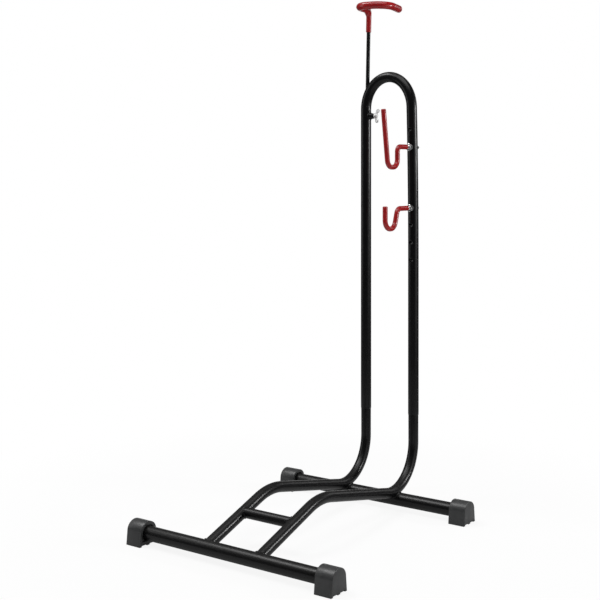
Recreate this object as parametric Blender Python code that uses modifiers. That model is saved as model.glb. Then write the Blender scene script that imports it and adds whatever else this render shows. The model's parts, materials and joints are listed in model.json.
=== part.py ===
"""Bike stand for storing a bike upright on its rear wheel.

Two cross tubes on plastic feet carry a pair of bent arms that hold the rear wheel between them.
The arms turn up into two posts, and an upside-down U of tube plugs on top of them. A height
adjustable mast with a covered top hook slides in the left post, held by a wing bolt, and two
covered J hooks are bolted through the right post.

Sizes are in metres with +Z up. The floor is z = 0, the bike stands on the -Y side of the posts,
and the origin is the middle of the floor area that the stand covers.
"""

from math import acos, asin, atan2, cos, pi, radians, sin, sqrt, tan

import bmesh
import bpy
from mathutils import Vector

# Gap between pieces that touch, and the clearance of pieces that slide or turn in others
GAP = 0.0003
SLIDE_CLEARANCE = 0.0005

# Posts: places of their axes, and the tubes of the arms and the loop, which share one bore
LEFT_POST = 0.0714
RIGHT_POST = 0.0708
POST_SETBACK = 0.088
ARM_DIAMETER = 0.0254
ARM_WALL = 0.0015
LOOP_DIAMETER = 0.0268

# Cross tubes
BASE_DIAMETER = 0.0325
BASE_WALL = 0.0015
FRONT_HALF_WIDTH = 0.278
REAR_LEFT_REACH = 0.2667
REAR_RIGHT_REACH = 0.2755
BASE_LENGTH = 0.556
BASE_AXIS_HEIGHT = 0.0265

# Arms rise from the front tube to a crest, fall to the rear tube and turn up at the heel
LEFT_ARM_FRONT = 0.0690
RIGHT_ARM_FRONT = 0.0710
CREST_REACH = 0.229
CREST_HEIGHT = 0.105
CREST_RADIUS = 0.165
HEEL_RADIUS = 0.106
SADDLE_DEPTH = 0.0094
CROSSBAR_DIAMETER = 0.0238
CROSSBAR_WALL = 0.0015
CROSSBAR_REACH = 0.130

# Loop, and the sleeves that plug it onto the arms: its right leg leans in towards the arch
SEAM_HEIGHT = 0.2185
LOOP_HEIGHT = 1.092
ARCH_RISE = 0.082
LEAN_START = 0.620
LEG_LEAN = 0.0048
GROOVE_DEPTH = 0.0009
GROOVE_WIDTH = 0.0030
SLEEVE_WALL = 0.0015
SLEEVE_ABOVE = 0.075
SLEEVE_BELOW = 0.045

# Feet
FOOT_LENGTH = 0.0424
FOOT_WIDTH = 0.0558
FOOT_SHOULDER_WIDTH = 0.0496
FOOT_SHOULDER_HEIGHT = 0.0305
FOOT_HEIGHT = 0.0528
FOOT_EDGE_RADIUS = 0.0018
FOOT_WALL = 0.0032
FOOT_END_WALL = 0.0045
FOOT_RECESS_DEPTH = 0.0150
FOOT_RECESS_FLOOR = 0.0080
FOOT_RIM = 0.0065
FOOT_RIB = 0.0080
FOOT_GROOVE_DEPTH = 0.0035

# Mast: it leaves the arch beside the post's axis and leans a little towards the loop's middle
MAST_DIAMETER = 0.010
MAST_EXIT_OFFSET = 0.0047
MAST_EXIT_HEIGHT = 1.056
MAST_LEAN = radians(1.25)
MAST_BOTTOM = 0.845
BUSH_DIAMETER = 0.0156
BUSH_LENGTH = 0.018
BUSH_FLOOR = 0.003
BUSH_GROOVE_DEPTH = 0.0010

# Top hook: leg, bar and tip lie level on top of the mast
TOP_HOOK_HEIGHT = 1.2562
TOP_HOOK_LEG = 0.080
TOP_HOOK_WIDTH = 0.092
TOP_HOOK_TIP = 0.0977
TOP_HOOK_BEND = 0.020
TOP_HOOK_CORNER = 0.037
TOP_HOOK_SWIVEL = radians(6.0)
TOP_HOOK_SPLAY = radians(8.0)
TOP_COVER_DIAMETER = 0.0192
TOP_COVER_NECK = 0.0128
TOP_COVER_START = 1.198
TOP_COVER_ROUNDING = 0.0050

# J hooks: reaches are measured forwards from the post's axis, heights from the bolt's axis
HOOK_ROD_DIAMETER = 0.010
HOOK_COVER_DIAMETER = 0.0124
HOOK_COVER_ROUNDING = 0.0023
COVER_END = 0.0045
UPPER_BOLT_HEIGHT = 0.897
UPPER_NECK_REACH = 0.0741
UPPER_SEAT_REACH = 0.1190
UPPER_SEAT_DEPTH = 0.0510
UPPER_TIP_REACH = 0.1400
UPPER_TIP_HEIGHT = 0.0905
UPPER_NECK_RADIUS = 0.013
UPPER_SEAT_RADIUS = 0.0195
UPPER_TAIL = 0.0103
LOWER_BOLT_HEIGHT = 0.743
LOWER_NECK_REACH = 0.0770
LOWER_HEEL_REACH = 0.0929
LOWER_SEAT_REACH = 0.1353
LOWER_SEAT_DEPTH = 0.0491
LOWER_TIP_HEIGHT = 0.0067
LOWER_NECK_RADIUS = 0.016
LOWER_SEAT_RADIUS = 0.0225
LOWER_TAIL = 0.0010
SPARE_HOLE_PITCH = 0.044
UPPER_SPARE_HOLES = 1
LOWER_SPARE_HOLES = 3

# Front nut of a J hook, the saddle that seats it, and the round low nut on the post's back
NUT_FLATS = 0.017
NUT_CHAMFER = 0.0010
NUT_HEIGHT = 0.0050
BARE_THREAD = 0.0100
SADDLE_DIAMETER = 0.0168
SADDLE_CROWN = 0.0010
FLANGE_DIAMETER = 0.0155
FLANGE_CROWN = 0.0020

# Mast clamp
CLAMP_HEIGHT = 0.9795
CLAMP_THREAD = 0.008
BOSS_BASE_DIAMETER = 0.0180
BOSS_TIP_DIAMETER = 0.0125
BOSS_RIM = 0.0020
BOSS_LENGTH = 0.0128
WING_HUB_DIAMETER = 0.0130
WING_HUB_LENGTH = 0.0088
WING_SPAN = 0.0372
WING_RISE = 0.0138
WING_LOBE_RADIUS = 0.0043
WING_THICKNESS = 0.0026
WING_EDGE = 0.0006
WING_TURN = radians(-11.0)

# Facets: sides round a tube, steps round a turned piece, and how far a bend's chords may stray
TUBE_SIDES = 16
ROD_SIDES = 12
COVER_SIDES = 14
TURN_STEPS = 20
BEND_TOLERANCE = 0.00025
ARCH_STEPS = 18
LEAN_STEPS = 5
ROUNDING_STEPS = 3
CUTTER_MARGIN = 0.004

# Places worked out from the sizes
ARM_RADIUS = ARM_DIAMETER / 2
LOOP_RADIUS = LOOP_DIAMETER / 2
TUBE_BORE = ARM_RADIUS - ARM_WALL
LOOP_WALL = LOOP_RADIUS - TUBE_BORE
BASE_RADIUS = BASE_DIAMETER / 2
MAST_RADIUS = MAST_DIAMETER / 2
HOOK_RADIUS = HOOK_ROD_DIAMETER / 2
SADDLE_START = LOOP_RADIUS + GAP
NUT_START = SADDLE_START + SADDLE_CROWN + GAP
FLANGE_FACE = SADDLE_START + FLANGE_CROWN
FRONT_EXTENT = BASE_LENGTH + FOOT_WIDTH / 2
BACK_EXTENT = POST_SETBACK + FLANGE_FACE + max(UPPER_TAIL, LOWER_TAIL)
REAR_Y = (FRONT_EXTENT - BACK_EXTENT) / 2
FRONT_Y = REAR_Y - BASE_LENGTH
POST_Y = REAR_Y + POST_SETBACK
LEFT_X = -LEFT_POST
RIGHT_X = RIGHT_POST
LEFT_ARM = (-LEFT_ARM_FRONT, LEFT_X)
RIGHT_ARM = (RIGHT_ARM_FRONT, RIGHT_X)
CREST_Y = FRONT_Y + CREST_REACH
HEEL_LOW = BASE_AXIS_HEIGHT + BASE_RADIUS + ARM_RADIUS - SADDLE_DEPTH
ARM_SLOPE = atan2(CREST_HEIGHT - BASE_AXIS_HEIGHT, CREST_REACH)
ARCH_TOP = LOOP_HEIGHT - LOOP_RADIUS
ARCH_SPRING = ARCH_TOP - ARCH_RISE
CLAMP_X = LEFT_X + LOOP_RADIUS + BOSS_LENGTH

# A foot's outline is drawn in XY: this turn stands it up and points its outer end to +X or -X
OUTWARD = {"right": (pi / 2, 0.0, pi / 2), "left": (pi / 2, 0.0, -pi / 2)}


def clear_scene():
    """Remove the objects that the scene starts with."""
    for old in list(bpy.data.objects):
        bpy.data.objects.remove(old)


def new_collection(name):
    """Add a collection to the scene."""
    group = bpy.data.collections.new(name)
    bpy.context.scene.collection.children.link(group)
    return group


def material(name, colour, roughness, metallic):
    """Principled material."""
    made = bpy.data.materials.new(name)
    made.use_nodes = True
    shader = made.node_tree.nodes["Principled BSDF"]
    shader.inputs["Base Color"].default_value = (*colour, 1.0)
    shader.inputs["Roughness"].default_value = roughness
    shader.inputs["Metallic"].default_value = metallic
    return made


def add_object(name, data, group):
    """Put a mesh, a curve or nothing into a collection as an object."""
    thing = bpy.data.objects.new(name, data)
    group.objects.link(thing)
    return thing


def place(thing, parent=None, location=(0, 0, 0), rotation=(0, 0, 0)):
    """Set an object's place, under a parent if it has one."""
    thing.parent = parent
    thing.location = location
    thing.rotation_euler = rotation
    return thing


def pivot(name, location, rotation=(0, 0, 0)):
    """Empty on a joint's axis, which carries the pieces that move about it."""
    mark = add_object(name, None, PARTS)
    mark.empty_display_size = 0.02
    return place(mark, None, location, rotation)


def finish(thing, dressing):
    """Give a piece its material, and smooth shading that keeps sharp edges."""
    thing.data.materials.clear()
    thing.data.materials.append(dressing)
    thing.data.shade_smooth()
    thing.data.set_sharp_from_angle(angle=radians(35))
    return thing


def make_cutter(thing):
    """Show a cutter as wires and keep it out of renders."""
    thing.hide_render = True
    thing.display_type = "WIRE"
    return thing


def combine(thing, other, operation):
    """Boolean of a piece with another shape."""
    boolean = thing.modifiers.new(other.name, "BOOLEAN")
    boolean.operation = operation
    boolean.solver = "EXACT"
    boolean.object = make_cutter(other)
    return thing


def cut(thing, *cutters):
    """Take cutters out of a piece."""
    for cutter in cutters:
        combine(thing, cutter, "DIFFERENCE")
    return thing


def evaluated_mesh(thing, name):
    """Mesh of an object as its modifiers leave it, with doubled points merged."""
    bpy.context.view_layer.update()
    graph = bpy.context.evaluated_depsgraph_get()
    mesh = bpy.data.meshes.new_from_object(thing.evaluated_get(graph))
    mesh.name = name
    shape = bmesh.new()
    shape.from_mesh(mesh)
    bmesh.ops.remove_doubles(shape, verts=shape.verts, dist=0.000005)
    shape.to_mesh(mesh)
    shape.free()
    return mesh


def mesh_of_curve(name, curve, group):
    """Object with the mesh of a curve, which is removed."""
    guide = add_object(name + "_guide", curve, group)
    mesh = evaluated_mesh(guide, name)
    thing = add_object(name, mesh, group)
    thing.matrix_world = guide.matrix_world
    bpy.data.objects.remove(guide)
    bpy.data.curves.remove(curve)
    return thing


def rounded_path(corners, radii):
    """Points along a path of straight runs, with an arc at each inner corner."""
    corners = [Vector(corner) for corner in corners]
    points = [corners[0]]
    for before, corner, after, radius in zip(corners, corners[1:], corners[2:], radii):
        to_before = (before - corner).normalized()
        to_after = (after - corner).normalized()
        opening = acos(max(-1.0, min(1.0, to_before.dot(to_after))))
        start = corner + to_before * radius / tan(opening / 2)
        centre = corner + (to_before + to_after).normalized() * radius / sin(opening / 2)
        across = (start - centre).normalized()
        turn = pi - opening
        steps = max(2, round(turn / (2 * acos(1 - BEND_TOLERANCE / radius))))
        for step in range(steps + 1):
            angle = turn * step / steps
            points.append(centre + radius * (across * cos(angle) - to_before * sin(angle)))
    points.append(corners[-1])
    return points


def shortened(points, length):
    """The same path, ending earlier by a length."""
    back = (points[-2] - points[-1]).normalized()
    return points[:-1] + [points[-1] + back * length]


def round_rod(name, points, radius, sides, group, factors=None, caps=True):
    """Round rod along a path, whose radius may be scaled at each point."""
    curve = bpy.data.curves.new(name, "CURVE")
    curve.dimensions = "3D"
    curve.bevel_depth = radius
    curve.bevel_resolution = (sides - 4) // 2
    curve.use_fill_caps = caps
    spline = curve.splines.new("POLY")
    spline.points.add(len(points) - 1)
    for index, point in enumerate(points):
        spline.points[index].co = (*point, 1.0)
        spline.points[index].radius = factors[index] if factors else 1.0
    return mesh_of_curve(name, curve, group)


def rounded_rod(name, points, radius, rounding, sides, group, factors=None):
    """Round rod whose far end has a rounded edge."""
    factors = list(factors) if factors else [1.0] * len(points)
    path = shortened(points, rounding)
    along = (points[-1] - points[-2]).normalized()
    shoulder = path[-1]
    for step in range(1, ROUNDING_STEPS + 1):
        angle = pi / 2 * step / ROUNDING_STEPS
        path.append(shoulder + along * rounding * sin(angle))
        factors.append(1.0 - rounding / radius * (1.0 - cos(angle)))
    return round_rod(name, path, radius, sides, group, factors)


def hollow_tube(name, points, radius, wall, sides=TUBE_SIDES):
    """Open-ended tube along a path: its outer skin, thickened inwards."""
    tube = round_rod(name, points, radius, sides, PARTS, caps=False)
    shell = tube.modifiers.new("wall", "SOLIDIFY")
    shell.thickness = wall
    shell.offset = -1.0
    shell.use_even_offset = True
    return tube


def pin_cutter(name, start, end, radius, sides=TURN_STEPS):
    """Straight round cutter from one point to another."""
    return make_cutter(round_rod(name, [Vector(start), Vector(end)], radius, sides, CUTTERS))


def box_cutter(name, low, high):
    """Box cutter between two corners."""
    mesh = bpy.data.meshes.new(name)
    shape = bmesh.new()
    bmesh.ops.create_cube(shape, size=1.0)
    bmesh.ops.scale(shape, verts=shape.verts, vec=Vector(high) - Vector(low))
    bmesh.ops.translate(shape, verts=shape.verts, vec=(Vector(low) + Vector(high)) / 2)
    shape.to_mesh(mesh)
    shape.free()
    return make_cutter(add_object(name, mesh, CUTTERS))


def turned(name, profile, group, closed=False):
    """Solid turned about Z from (radius, height) pairs that run down its outer side."""
    mesh = bpy.data.meshes.new(name)
    shape = bmesh.new()
    points = [shape.verts.new((radius, 0.0, height)) for radius, height in profile]
    for first, second in zip(points, points[1:]):
        shape.edges.new((first, second))
    if closed:
        shape.edges.new((points[-1], points[0]))
    shape.to_mesh(mesh)
    shape.free()
    thing = add_object(name, mesh, group)
    screw = thing.modifiers.new("turn", "SCREW")
    screw.axis = "Z"
    screw.steps = TURN_STEPS
    screw.render_steps = TURN_STEPS
    screw.use_merge_vertices = True
    screw.merge_threshold = 0.00001
    return thing


def outline_plate(name, outline, thickness, edge, group):
    """Plate of a flat outline in XY, centred on its plane, with rounded edges."""
    curve = bpy.data.curves.new(name, "CURVE")
    curve.dimensions = "2D"
    curve.fill_mode = "BOTH"
    curve.extrude = thickness / 2 - edge
    curve.bevel_depth = edge
    curve.bevel_resolution = 1
    curve.offset = -edge
    spline = curve.splines.new("POLY")
    spline.points.add(len(outline) - 1)
    for index, (x, y) in enumerate(outline):
        spline.points[index].co = (x, y, 0.0, 1.0)
    spline.use_cyclic_u = True
    return mesh_of_curve(name, curve, group)


def base_tube_cutter(name, y):
    """Cutter round a cross tube, for the tubes that are coped onto it."""
    ends = [(side * 2 * RIGHT_POST, y, BASE_AXIS_HEIGHT) for side in (-1, 1)]
    return pin_cutter(name, *ends, BASE_RADIUS + GAP)


def left_leg_x(height):
    """X of the left leg's axis, which is straight."""
    return LEFT_X


def right_leg_x(height):
    """X of the right leg's axis, which leans inwards towards the arch."""
    share = max(0.0, height - LEAN_START) / (ARCH_SPRING - LEAN_START)
    return RIGHT_X - LEG_LEAN * share ** 2


def post_cutter(name, leg_x, height, reach):
    """Cutter round a stretch of a leg of the loop."""
    ends = [(leg_x(z), POST_Y, z) for z in (height - reach, height + reach)]
    return pin_cutter(name, *ends, LOOP_RADIUS + GAP, TUBE_SIDES)


def cross_tube(name, y, left, right):
    """Cross tube along X near the floor, ending inside its feet."""
    inset = FOOT_END_WALL + GAP
    ends = [Vector((x, y, BASE_AXIS_HEIGHT)) for x in (left + inset, right - inset)]
    return finish(hollow_tube(name, ends, BASE_RADIUS, BASE_WALL, TURN_STEPS), BLACK_PAINT)


def foot_outline(inset, floor):
    """Arched outline across a foot, moved inwards by an inset, from a floor height upwards."""
    slope = (FOOT_WIDTH - FOOT_SHOULDER_WIDTH) / 2 / FOOT_SHOULDER_HEIGHT
    half_floor = FOOT_WIDTH / 2 - inset - slope * floor
    half_shoulder = FOOT_SHOULDER_WIDTH / 2 - inset
    rise = FOOT_HEIGHT - FOOT_SHOULDER_HEIGHT - inset
    steps = TURN_STEPS // 2
    arch = []
    for step in range(steps + 1):
        angle = pi * step / steps
        arch.append((half_shoulder * cos(angle), FOOT_SHOULDER_HEIGHT + rise * sin(angle)))
    return [(half_floor, floor), *arch, (-half_floor, floor)]


def foot_mesh():
    """Moulded foot with its outer end to +Z of its mesh, centred on its length."""
    outer_end = FOOT_LENGTH / 2
    inner_end = -outer_end
    body = outline_plate("foot", foot_outline(0.0, 0.0), FOOT_LENGTH, FOOT_EDGE_RADIUS, PARTS)
    place(body, rotation=OUTWARD["right"])
    recess_outline = foot_outline(FOOT_WALL, FOOT_RECESS_FLOOR)
    recess = outline_plate("foot_recess", recess_outline, 2 * FOOT_RECESS_DEPTH, 0.0005, CUTTERS)
    place(recess, location=(inner_end, 0.0, 0.0), rotation=OUTWARD["right"])
    bore = pin_cutter("foot_bore", (inner_end - CUTTER_MARGIN, 0.0, BASE_AXIS_HEIGHT),
                      (outer_end - FOOT_END_WALL, 0.0, BASE_AXIS_HEIGHT), BASE_RADIUS + GAP)
    cut(body, recess, bore)
    near = FOOT_RIB / 2
    far = FOOT_WIDTH / 2 - FOOT_RIM
    for side, low, high in (("front", -far, -near), ("rear", near, far)):
        cut(body, box_cutter("foot_groove_" + side,
                             (inner_end - CUTTER_MARGIN, low, -CUTTER_MARGIN),
                             (outer_end + CUTTER_MARGIN, high, FOOT_GROOVE_DEPTH)))
    mesh = evaluated_mesh(body, "foot")
    for modifier in body.modifiers:
        bpy.data.objects.remove(modifier.object)
    bpy.data.objects.remove(body)
    return mesh


def build_feet():
    """Four feet that share one mesh."""
    mesh = foot_mesh()
    half = FOOT_LENGTH / 2
    for row, y, left, right in (("front", FRONT_Y, -FRONT_HALF_WIDTH, FRONT_HALF_WIDTH),
                                ("rear", REAR_Y, -REAR_LEFT_REACH, REAR_RIGHT_REACH)):
        for side, x in (("left", left + half), ("right", right - half)):
            foot = add_object(f"foot_{row}_{side}", mesh, PARTS)
            place(foot, location=(x, y, 0.0), rotation=OUTWARD[side])
            finish(foot, GREY_PLASTIC)


def arm_x(arm, y):
    """X of an arm's axis, whose front end and post may stand a little differently."""
    front, post = arm
    return front + (post - front) * (y - FRONT_Y) / (POST_Y - FRONT_Y)


def arm_path(arm):
    """Path of an arm: front tube, crest, heel and post, up to the seam."""
    rise = HEEL_LOW + HEEL_RADIUS - CREST_HEIGHT
    run = POST_Y - HEEL_RADIUS - CREST_Y
    fall = atan2(rise, run) - asin(HEEL_RADIUS / sqrt(rise ** 2 + run ** 2))
    heel_height = CREST_HEIGHT + (POST_Y - CREST_Y) * tan(fall)
    side_view = [(FRONT_Y, BASE_AXIS_HEIGHT), (CREST_Y, CREST_HEIGHT), (POST_Y, heel_height),
                 (POST_Y, SEAM_HEIGHT)]
    corners = [(arm_x(arm, y), y, z) for y, z in side_view]
    return rounded_path(corners, [CREST_RADIUS, HEEL_RADIUS])


def seam_groove(name, x, radius):
    """Ring cutter for the V groove round a tube's end at the seam."""
    half = GROOVE_WIDTH / 2
    outer = radius + GROOVE_DEPTH
    ring = turned(name, [(outer, 2 * half), (outer, -2 * half), (radius - GROOVE_DEPTH, 0.0)],
                  CUTTERS, closed=True)
    return place(make_cutter(ring), location=(x, POST_Y, SEAM_HEIGHT + GAP / 2))


def arm_tube(name, arm):
    """Bent arm, coped onto the front tube and saddled onto the rear one."""
    tube = hollow_tube(name, arm_path(arm), ARM_RADIUS, ARM_WALL)
    cut(tube, base_tube_cutter(name + "_cope", FRONT_Y))
    cut(tube, base_tube_cutter(name + "_saddle", REAR_Y))
    cut(tube, seam_groove(name + "_groove", arm[1], ARM_RADIUS))
    return finish(tube, BLACK_PAINT)


def arm_crossbar():
    """Short tube that ties the arms together, coped to both."""
    y = FRONT_Y + CROSSBAR_REACH
    height = BASE_AXIS_HEIGHT + CROSSBAR_REACH * tan(ARM_SLOPE)
    ends = [Vector((arm_x(arm, y), y, height)) for arm in (LEFT_ARM, RIGHT_ARM)]
    bar = hollow_tube("arm_crossbar", ends, CROSSBAR_DIAMETER / 2, CROSSBAR_WALL)
    along = Vector((0.0, cos(ARM_SLOPE), sin(ARM_SLOPE))) * CROSSBAR_DIAMETER
    for side, end in zip(("left", "right"), ends):
        cut(bar, pin_cutter(f"crossbar_{side}_cope", end - along, end + along,
                            ARM_RADIUS + GAP, TUBE_SIDES))
    return finish(bar, BLACK_PAINT)


def joint_sleeve(name, x):
    """Inner sleeve fixed in an arm, which the loop plugs onto."""
    ends = [Vector((x, POST_Y, SEAM_HEIGHT - SLEEVE_BELOW)),
            Vector((x, POST_Y, SEAM_HEIGHT + SLEEVE_ABOVE))]
    radius = TUBE_BORE - SLIDE_CLEARANCE
    return finish(hollow_tube(name, ends, radius, SLEEVE_WALL), BARE_STEEL)


def loop_path():
    """Path of the loop: up the left post, over the arch and down the right post."""
    foot = SEAM_HEIGHT + GAP
    middle = (right_leg_x(ARCH_SPRING) + LEFT_X) / 2
    reach = middle - LEFT_X
    points = [Vector((LEFT_X, POST_Y, foot))]
    for step in range(ARCH_STEPS + 1):
        angle = pi * step / ARCH_STEPS
        points.append(Vector((middle - reach * cos(angle), POST_Y,
                              ARCH_SPRING + ARCH_RISE * sin(angle))))
    for step in range(1, LEAN_STEPS + 1):
        height = ARCH_SPRING + (LEAN_START - ARCH_SPRING) * step / LEAN_STEPS
        points.append(Vector((right_leg_x(height), POST_Y, height)))
    points.append(Vector((RIGHT_X, POST_Y, foot)))
    return points


def hook_holes():
    """Cutters for the hook bolts and the spare positions in the right post."""
    heights = [UPPER_BOLT_HEIGHT + SPARE_HOLE_PITCH * n for n in range(UPPER_SPARE_HOLES + 1)]
    heights += [LOWER_BOLT_HEIGHT - SPARE_HOLE_PITCH * n for n in range(LOWER_SPARE_HOLES + 1)]
    reach = LOOP_RADIUS + CUTTER_MARGIN
    holes = []
    for number, height in enumerate(heights):
        ends = [(right_leg_x(height), POST_Y + way * reach, height) for way in (-1, 1)]
        holes.append(pin_cutter(f"hook_hole_{number}", *ends, HOOK_RADIUS + GAP, ROD_SIDES))
    return holes


def mast_hole():
    """Cutter for the hole where the mast leaves the arch, along the leaning mast."""
    low = (ARCH_SPRING - MAST_EXIT_HEIGHT) / cos(MAST_LEAN)
    high = (LOOP_HEIGHT - MAST_EXIT_HEIGHT) / cos(MAST_LEAN)
    hole = pin_cutter("mast_hole", (0.0, 0.0, low), (0.0, 0.0, high),
                      MAST_RADIUS + SLIDE_CLEARANCE, ROD_SIDES)
    return place(hole, location=(LEFT_X + MAST_EXIT_OFFSET, POST_Y, MAST_EXIT_HEIGHT),
                 rotation=(0.0, MAST_LEAN, 0.0))


def clamp_hole():
    """Cutter for the clamp bolt's hole in the inner side of the left post."""
    return pin_cutter("clamp_hole", (LEFT_X + TUBE_BORE - CUTTER_MARGIN, POST_Y, CLAMP_HEIGHT),
                      (LEFT_X + LOOP_RADIUS + CUTTER_MARGIN, POST_Y, CLAMP_HEIGHT),
                      CLAMP_THREAD / 2 + GAP, ROD_SIDES)


def upper_loop():
    """Upside-down U of tube with its drilled holes."""
    loop = hollow_tube("upper_loop", loop_path(), LOOP_RADIUS, LOOP_WALL)
    cut(loop, mast_hole(), clamp_hole(), *hook_holes())
    for side, x in (("left", LEFT_X), ("right", RIGHT_X)):
        cut(loop, seam_groove(f"loop_{side}_groove", x, LOOP_RADIUS))
    return finish(loop, BLACK_PAINT)


def clamp_boss(clamp_pivot):
    """Conical threaded boss, coped onto the left post."""
    bore = CLAMP_THREAD / 2 + GAP
    base = BOSS_BASE_DIAMETER / 2
    tip = BOSS_TIP_DIAMETER / 2
    sagitta = LOOP_RADIUS - sqrt(LOOP_RADIUS ** 2 - base ** 2)
    bottom = -BOSS_LENGTH - sagitta
    profile = [(bore, 0.0), (tip, 0.0), (tip, -BOSS_RIM), (base, -BOSS_LENGTH), (base, bottom),
               (bore, bottom)]
    boss = turned("clamp_boss", profile, PARTS, closed=True)
    place(boss, clamp_pivot)
    cut(boss, post_cutter("clamp_boss_cope", left_leg_x, CLAMP_HEIGHT, BOSS_BASE_DIAMETER))
    return finish(boss, BLACK_PAINT)


def wing_outline():
    """Outline of both wings of the clamp bolt, as (across, along) pairs."""
    lobe_across = WING_SPAN / 2 - WING_LOBE_RADIUS
    lobe_along = WING_RISE - WING_LOBE_RADIUS
    root = WING_HUB_DIAMETER / 2
    half = [(root / 2, WING_HUB_LENGTH / 4), (root, WING_HUB_LENGTH / 3)]
    for step in range(7):
        angle = radians(-50 + 30 * step)
        half.append((lobe_across + WING_LOBE_RADIUS * cos(angle),
                     lobe_along + WING_LOBE_RADIUS * sin(angle)))
    half.append((root / 2, WING_HUB_LENGTH * 0.8))
    return half + [(-across, along) for across, along in reversed(half)]


def wing_bolt(clamp_pivot):
    """Clamp bolt: threaded shank, hub and two wings, with its tip against the mast."""
    thread = CLAMP_THREAD / 2
    hub = WING_HUB_DIAMETER / 2
    top = GAP + WING_HUB_LENGTH
    mast_x = LEFT_X + MAST_EXIT_OFFSET - (MAST_EXIT_HEIGHT - CLAMP_HEIGHT) * tan(MAST_LEAN)
    tip = mast_x + MAST_RADIUS + GAP - CLAMP_X
    profile = [(0.0, top), (hub * 0.55, top), (hub * 0.8, top * 0.6), (hub, GAP + 0.001),
               (hub, GAP), (thread, GAP), (thread, tip + 0.001), (thread - 0.001, tip), (0.0, tip)]
    bolt = turned("wing_bolt", profile, PARTS)
    place(bolt, clamp_pivot, rotation=(0.0, 0.0, WING_TURN))
    wings = outline_plate("wing_bolt_wings", wing_outline(), WING_THICKNESS, WING_EDGE, CUTTERS)
    place(wings, bolt, rotation=(pi / 2, 0.0, 0.0))
    combine(bolt, wings, "UNION")
    return finish(bolt, ZINC)


def mast_height(height):
    """Height over the floor as a distance along the leaning mast from its pivot."""
    return (height - MAST_EXIT_HEIGHT) / cos(MAST_LEAN)


def mast_path(start):
    """Path of the mast and its hook from a starting distance, in the mast's own frame."""
    swivel = TOP_HOOK_SWIVEL
    splay = TOP_HOOK_SWIVEL + TOP_HOOK_SPLAY
    top = Vector((0.0, 0.0, mast_height(TOP_HOOK_HEIGHT)))
    front = top + TOP_HOOK_LEG * Vector((sin(swivel), -cos(swivel), 0.0))
    side = front + TOP_HOOK_WIDTH * Vector((cos(swivel), sin(swivel), 0.0))
    tip = side + TOP_HOOK_TIP * Vector((-sin(splay), cos(splay), 0.0))
    corners = [Vector((0.0, 0.0, start)), top, front, side, tip]
    return rounded_path(corners, [TOP_HOOK_BEND, TOP_HOOK_CORNER, TOP_HOOK_CORNER])


def cover_factors(path):
    """Radius along the top hook's cover: slim on the mast, full past its bend."""
    slim = TOP_COVER_NECK / TOP_COVER_DIAMETER
    bend_start = mast_height(TOP_HOOK_HEIGHT) - TOP_HOOK_BEND
    factors = []
    for point in path:
        share = max(0.0, min(1.0, (point.z - bend_start) / TOP_HOOK_BEND))
        factors.append(slim + (1.0 - slim) * (1.0 - cos(pi * share)) / 2)
    return factors


def build_mast(mast_pivot):
    """Mast rod with its hook, the cover on the hook and the bush at the lower end."""
    bottom = mast_height(MAST_BOTTOM)
    bare = mast_path(bottom)
    mast = round_rod("mast_rod", shortened(bare, COVER_END + GAP), MAST_RADIUS, ROD_SIDES, PARTS)
    finish(place(mast, mast_pivot), BLACK_PAINT)
    skin = mast_path(mast_height(TOP_COVER_START))
    cover = rounded_rod("top_hook_cover", skin, TOP_COVER_DIAMETER / 2, TOP_COVER_ROUNDING,
                        COVER_SIDES, PARTS, cover_factors(skin))
    place(cover, mast_pivot)
    core = mast_path(mast_height(TOP_COVER_START) - CUTTER_MARGIN)
    bore = round_rod("top_hook_cover_bore", shortened(core, COVER_END), MAST_RADIUS + GAP,
                     ROD_SIDES, CUTTERS)
    cut(cover, place(bore, mast_pivot))
    finish(cover, RED_VINYL)
    mast_bush(mast_pivot, bottom - GAP)


def mast_bush(mast_pivot, seat):
    """Grooved plastic bush cupped round the mast's lower end."""
    outer = BUSH_DIAMETER / 2
    waist = outer - BUSH_GROOVE_DEPTH
    bore = MAST_RADIUS + GAP
    low = seat - BUSH_FLOOR
    high = low + BUSH_LENGTH
    profile = [(0.0, seat), (bore, seat), (bore, high), (outer, high)]
    for share in (0.30, 0.65):
        groove = high - share * BUSH_LENGTH
        profile += [(outer, groove), (waist, groove - BUSH_GROOVE_DEPTH),
                    (outer, groove - 2 * BUSH_GROOVE_DEPTH)]
    profile += [(outer, low), (0.0, low)]
    bush = turned("mast_bush", profile, PARTS)
    return finish(place(bush, mast_pivot), BLACK_PLASTIC)


def hook_path(start, neck, heel, seat, depth, tip, rise, radii):
    """Path of a J hook in the plane of its bolt: neck, heel, seat and tip."""
    corners = [(0.0, -start, 0.0), (0.0, -neck, 0.0), (0.0, -heel, -depth), (0.0, -seat, -depth),
               (0.0, -tip, rise)]
    neck_radius, seat_radius = radii
    return rounded_path(corners, [neck_radius, seat_radius, seat_radius])


def upper_hook_path(start):
    """Path of the upper hook from a reach on its bolt's axis."""
    return hook_path(start, UPPER_NECK_REACH, UPPER_NECK_REACH, UPPER_SEAT_REACH, UPPER_SEAT_DEPTH,
                     UPPER_TIP_REACH, UPPER_TIP_HEIGHT, (UPPER_NECK_RADIUS, UPPER_SEAT_RADIUS))


def lower_hook_path(start):
    """Path of the lower hook from a reach on its bolt's axis."""
    return hook_path(start, LOWER_NECK_REACH, LOWER_HEEL_REACH, LOWER_SEAT_REACH, LOWER_SEAT_DEPTH,
                     LOWER_SEAT_REACH, LOWER_TIP_HEIGHT, (LOWER_NECK_RADIUS, LOWER_SEAT_RADIUS))


def on_bolt(piece, hook_pivot, way, start):
    """Set a piece on a hook's bolt, facing out of the post to -Y or to +Y."""
    return place(piece, hook_pivot, (0.0, way * start, 0.0), (-way * pi / 2, 0.0, 0.0))


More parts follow.
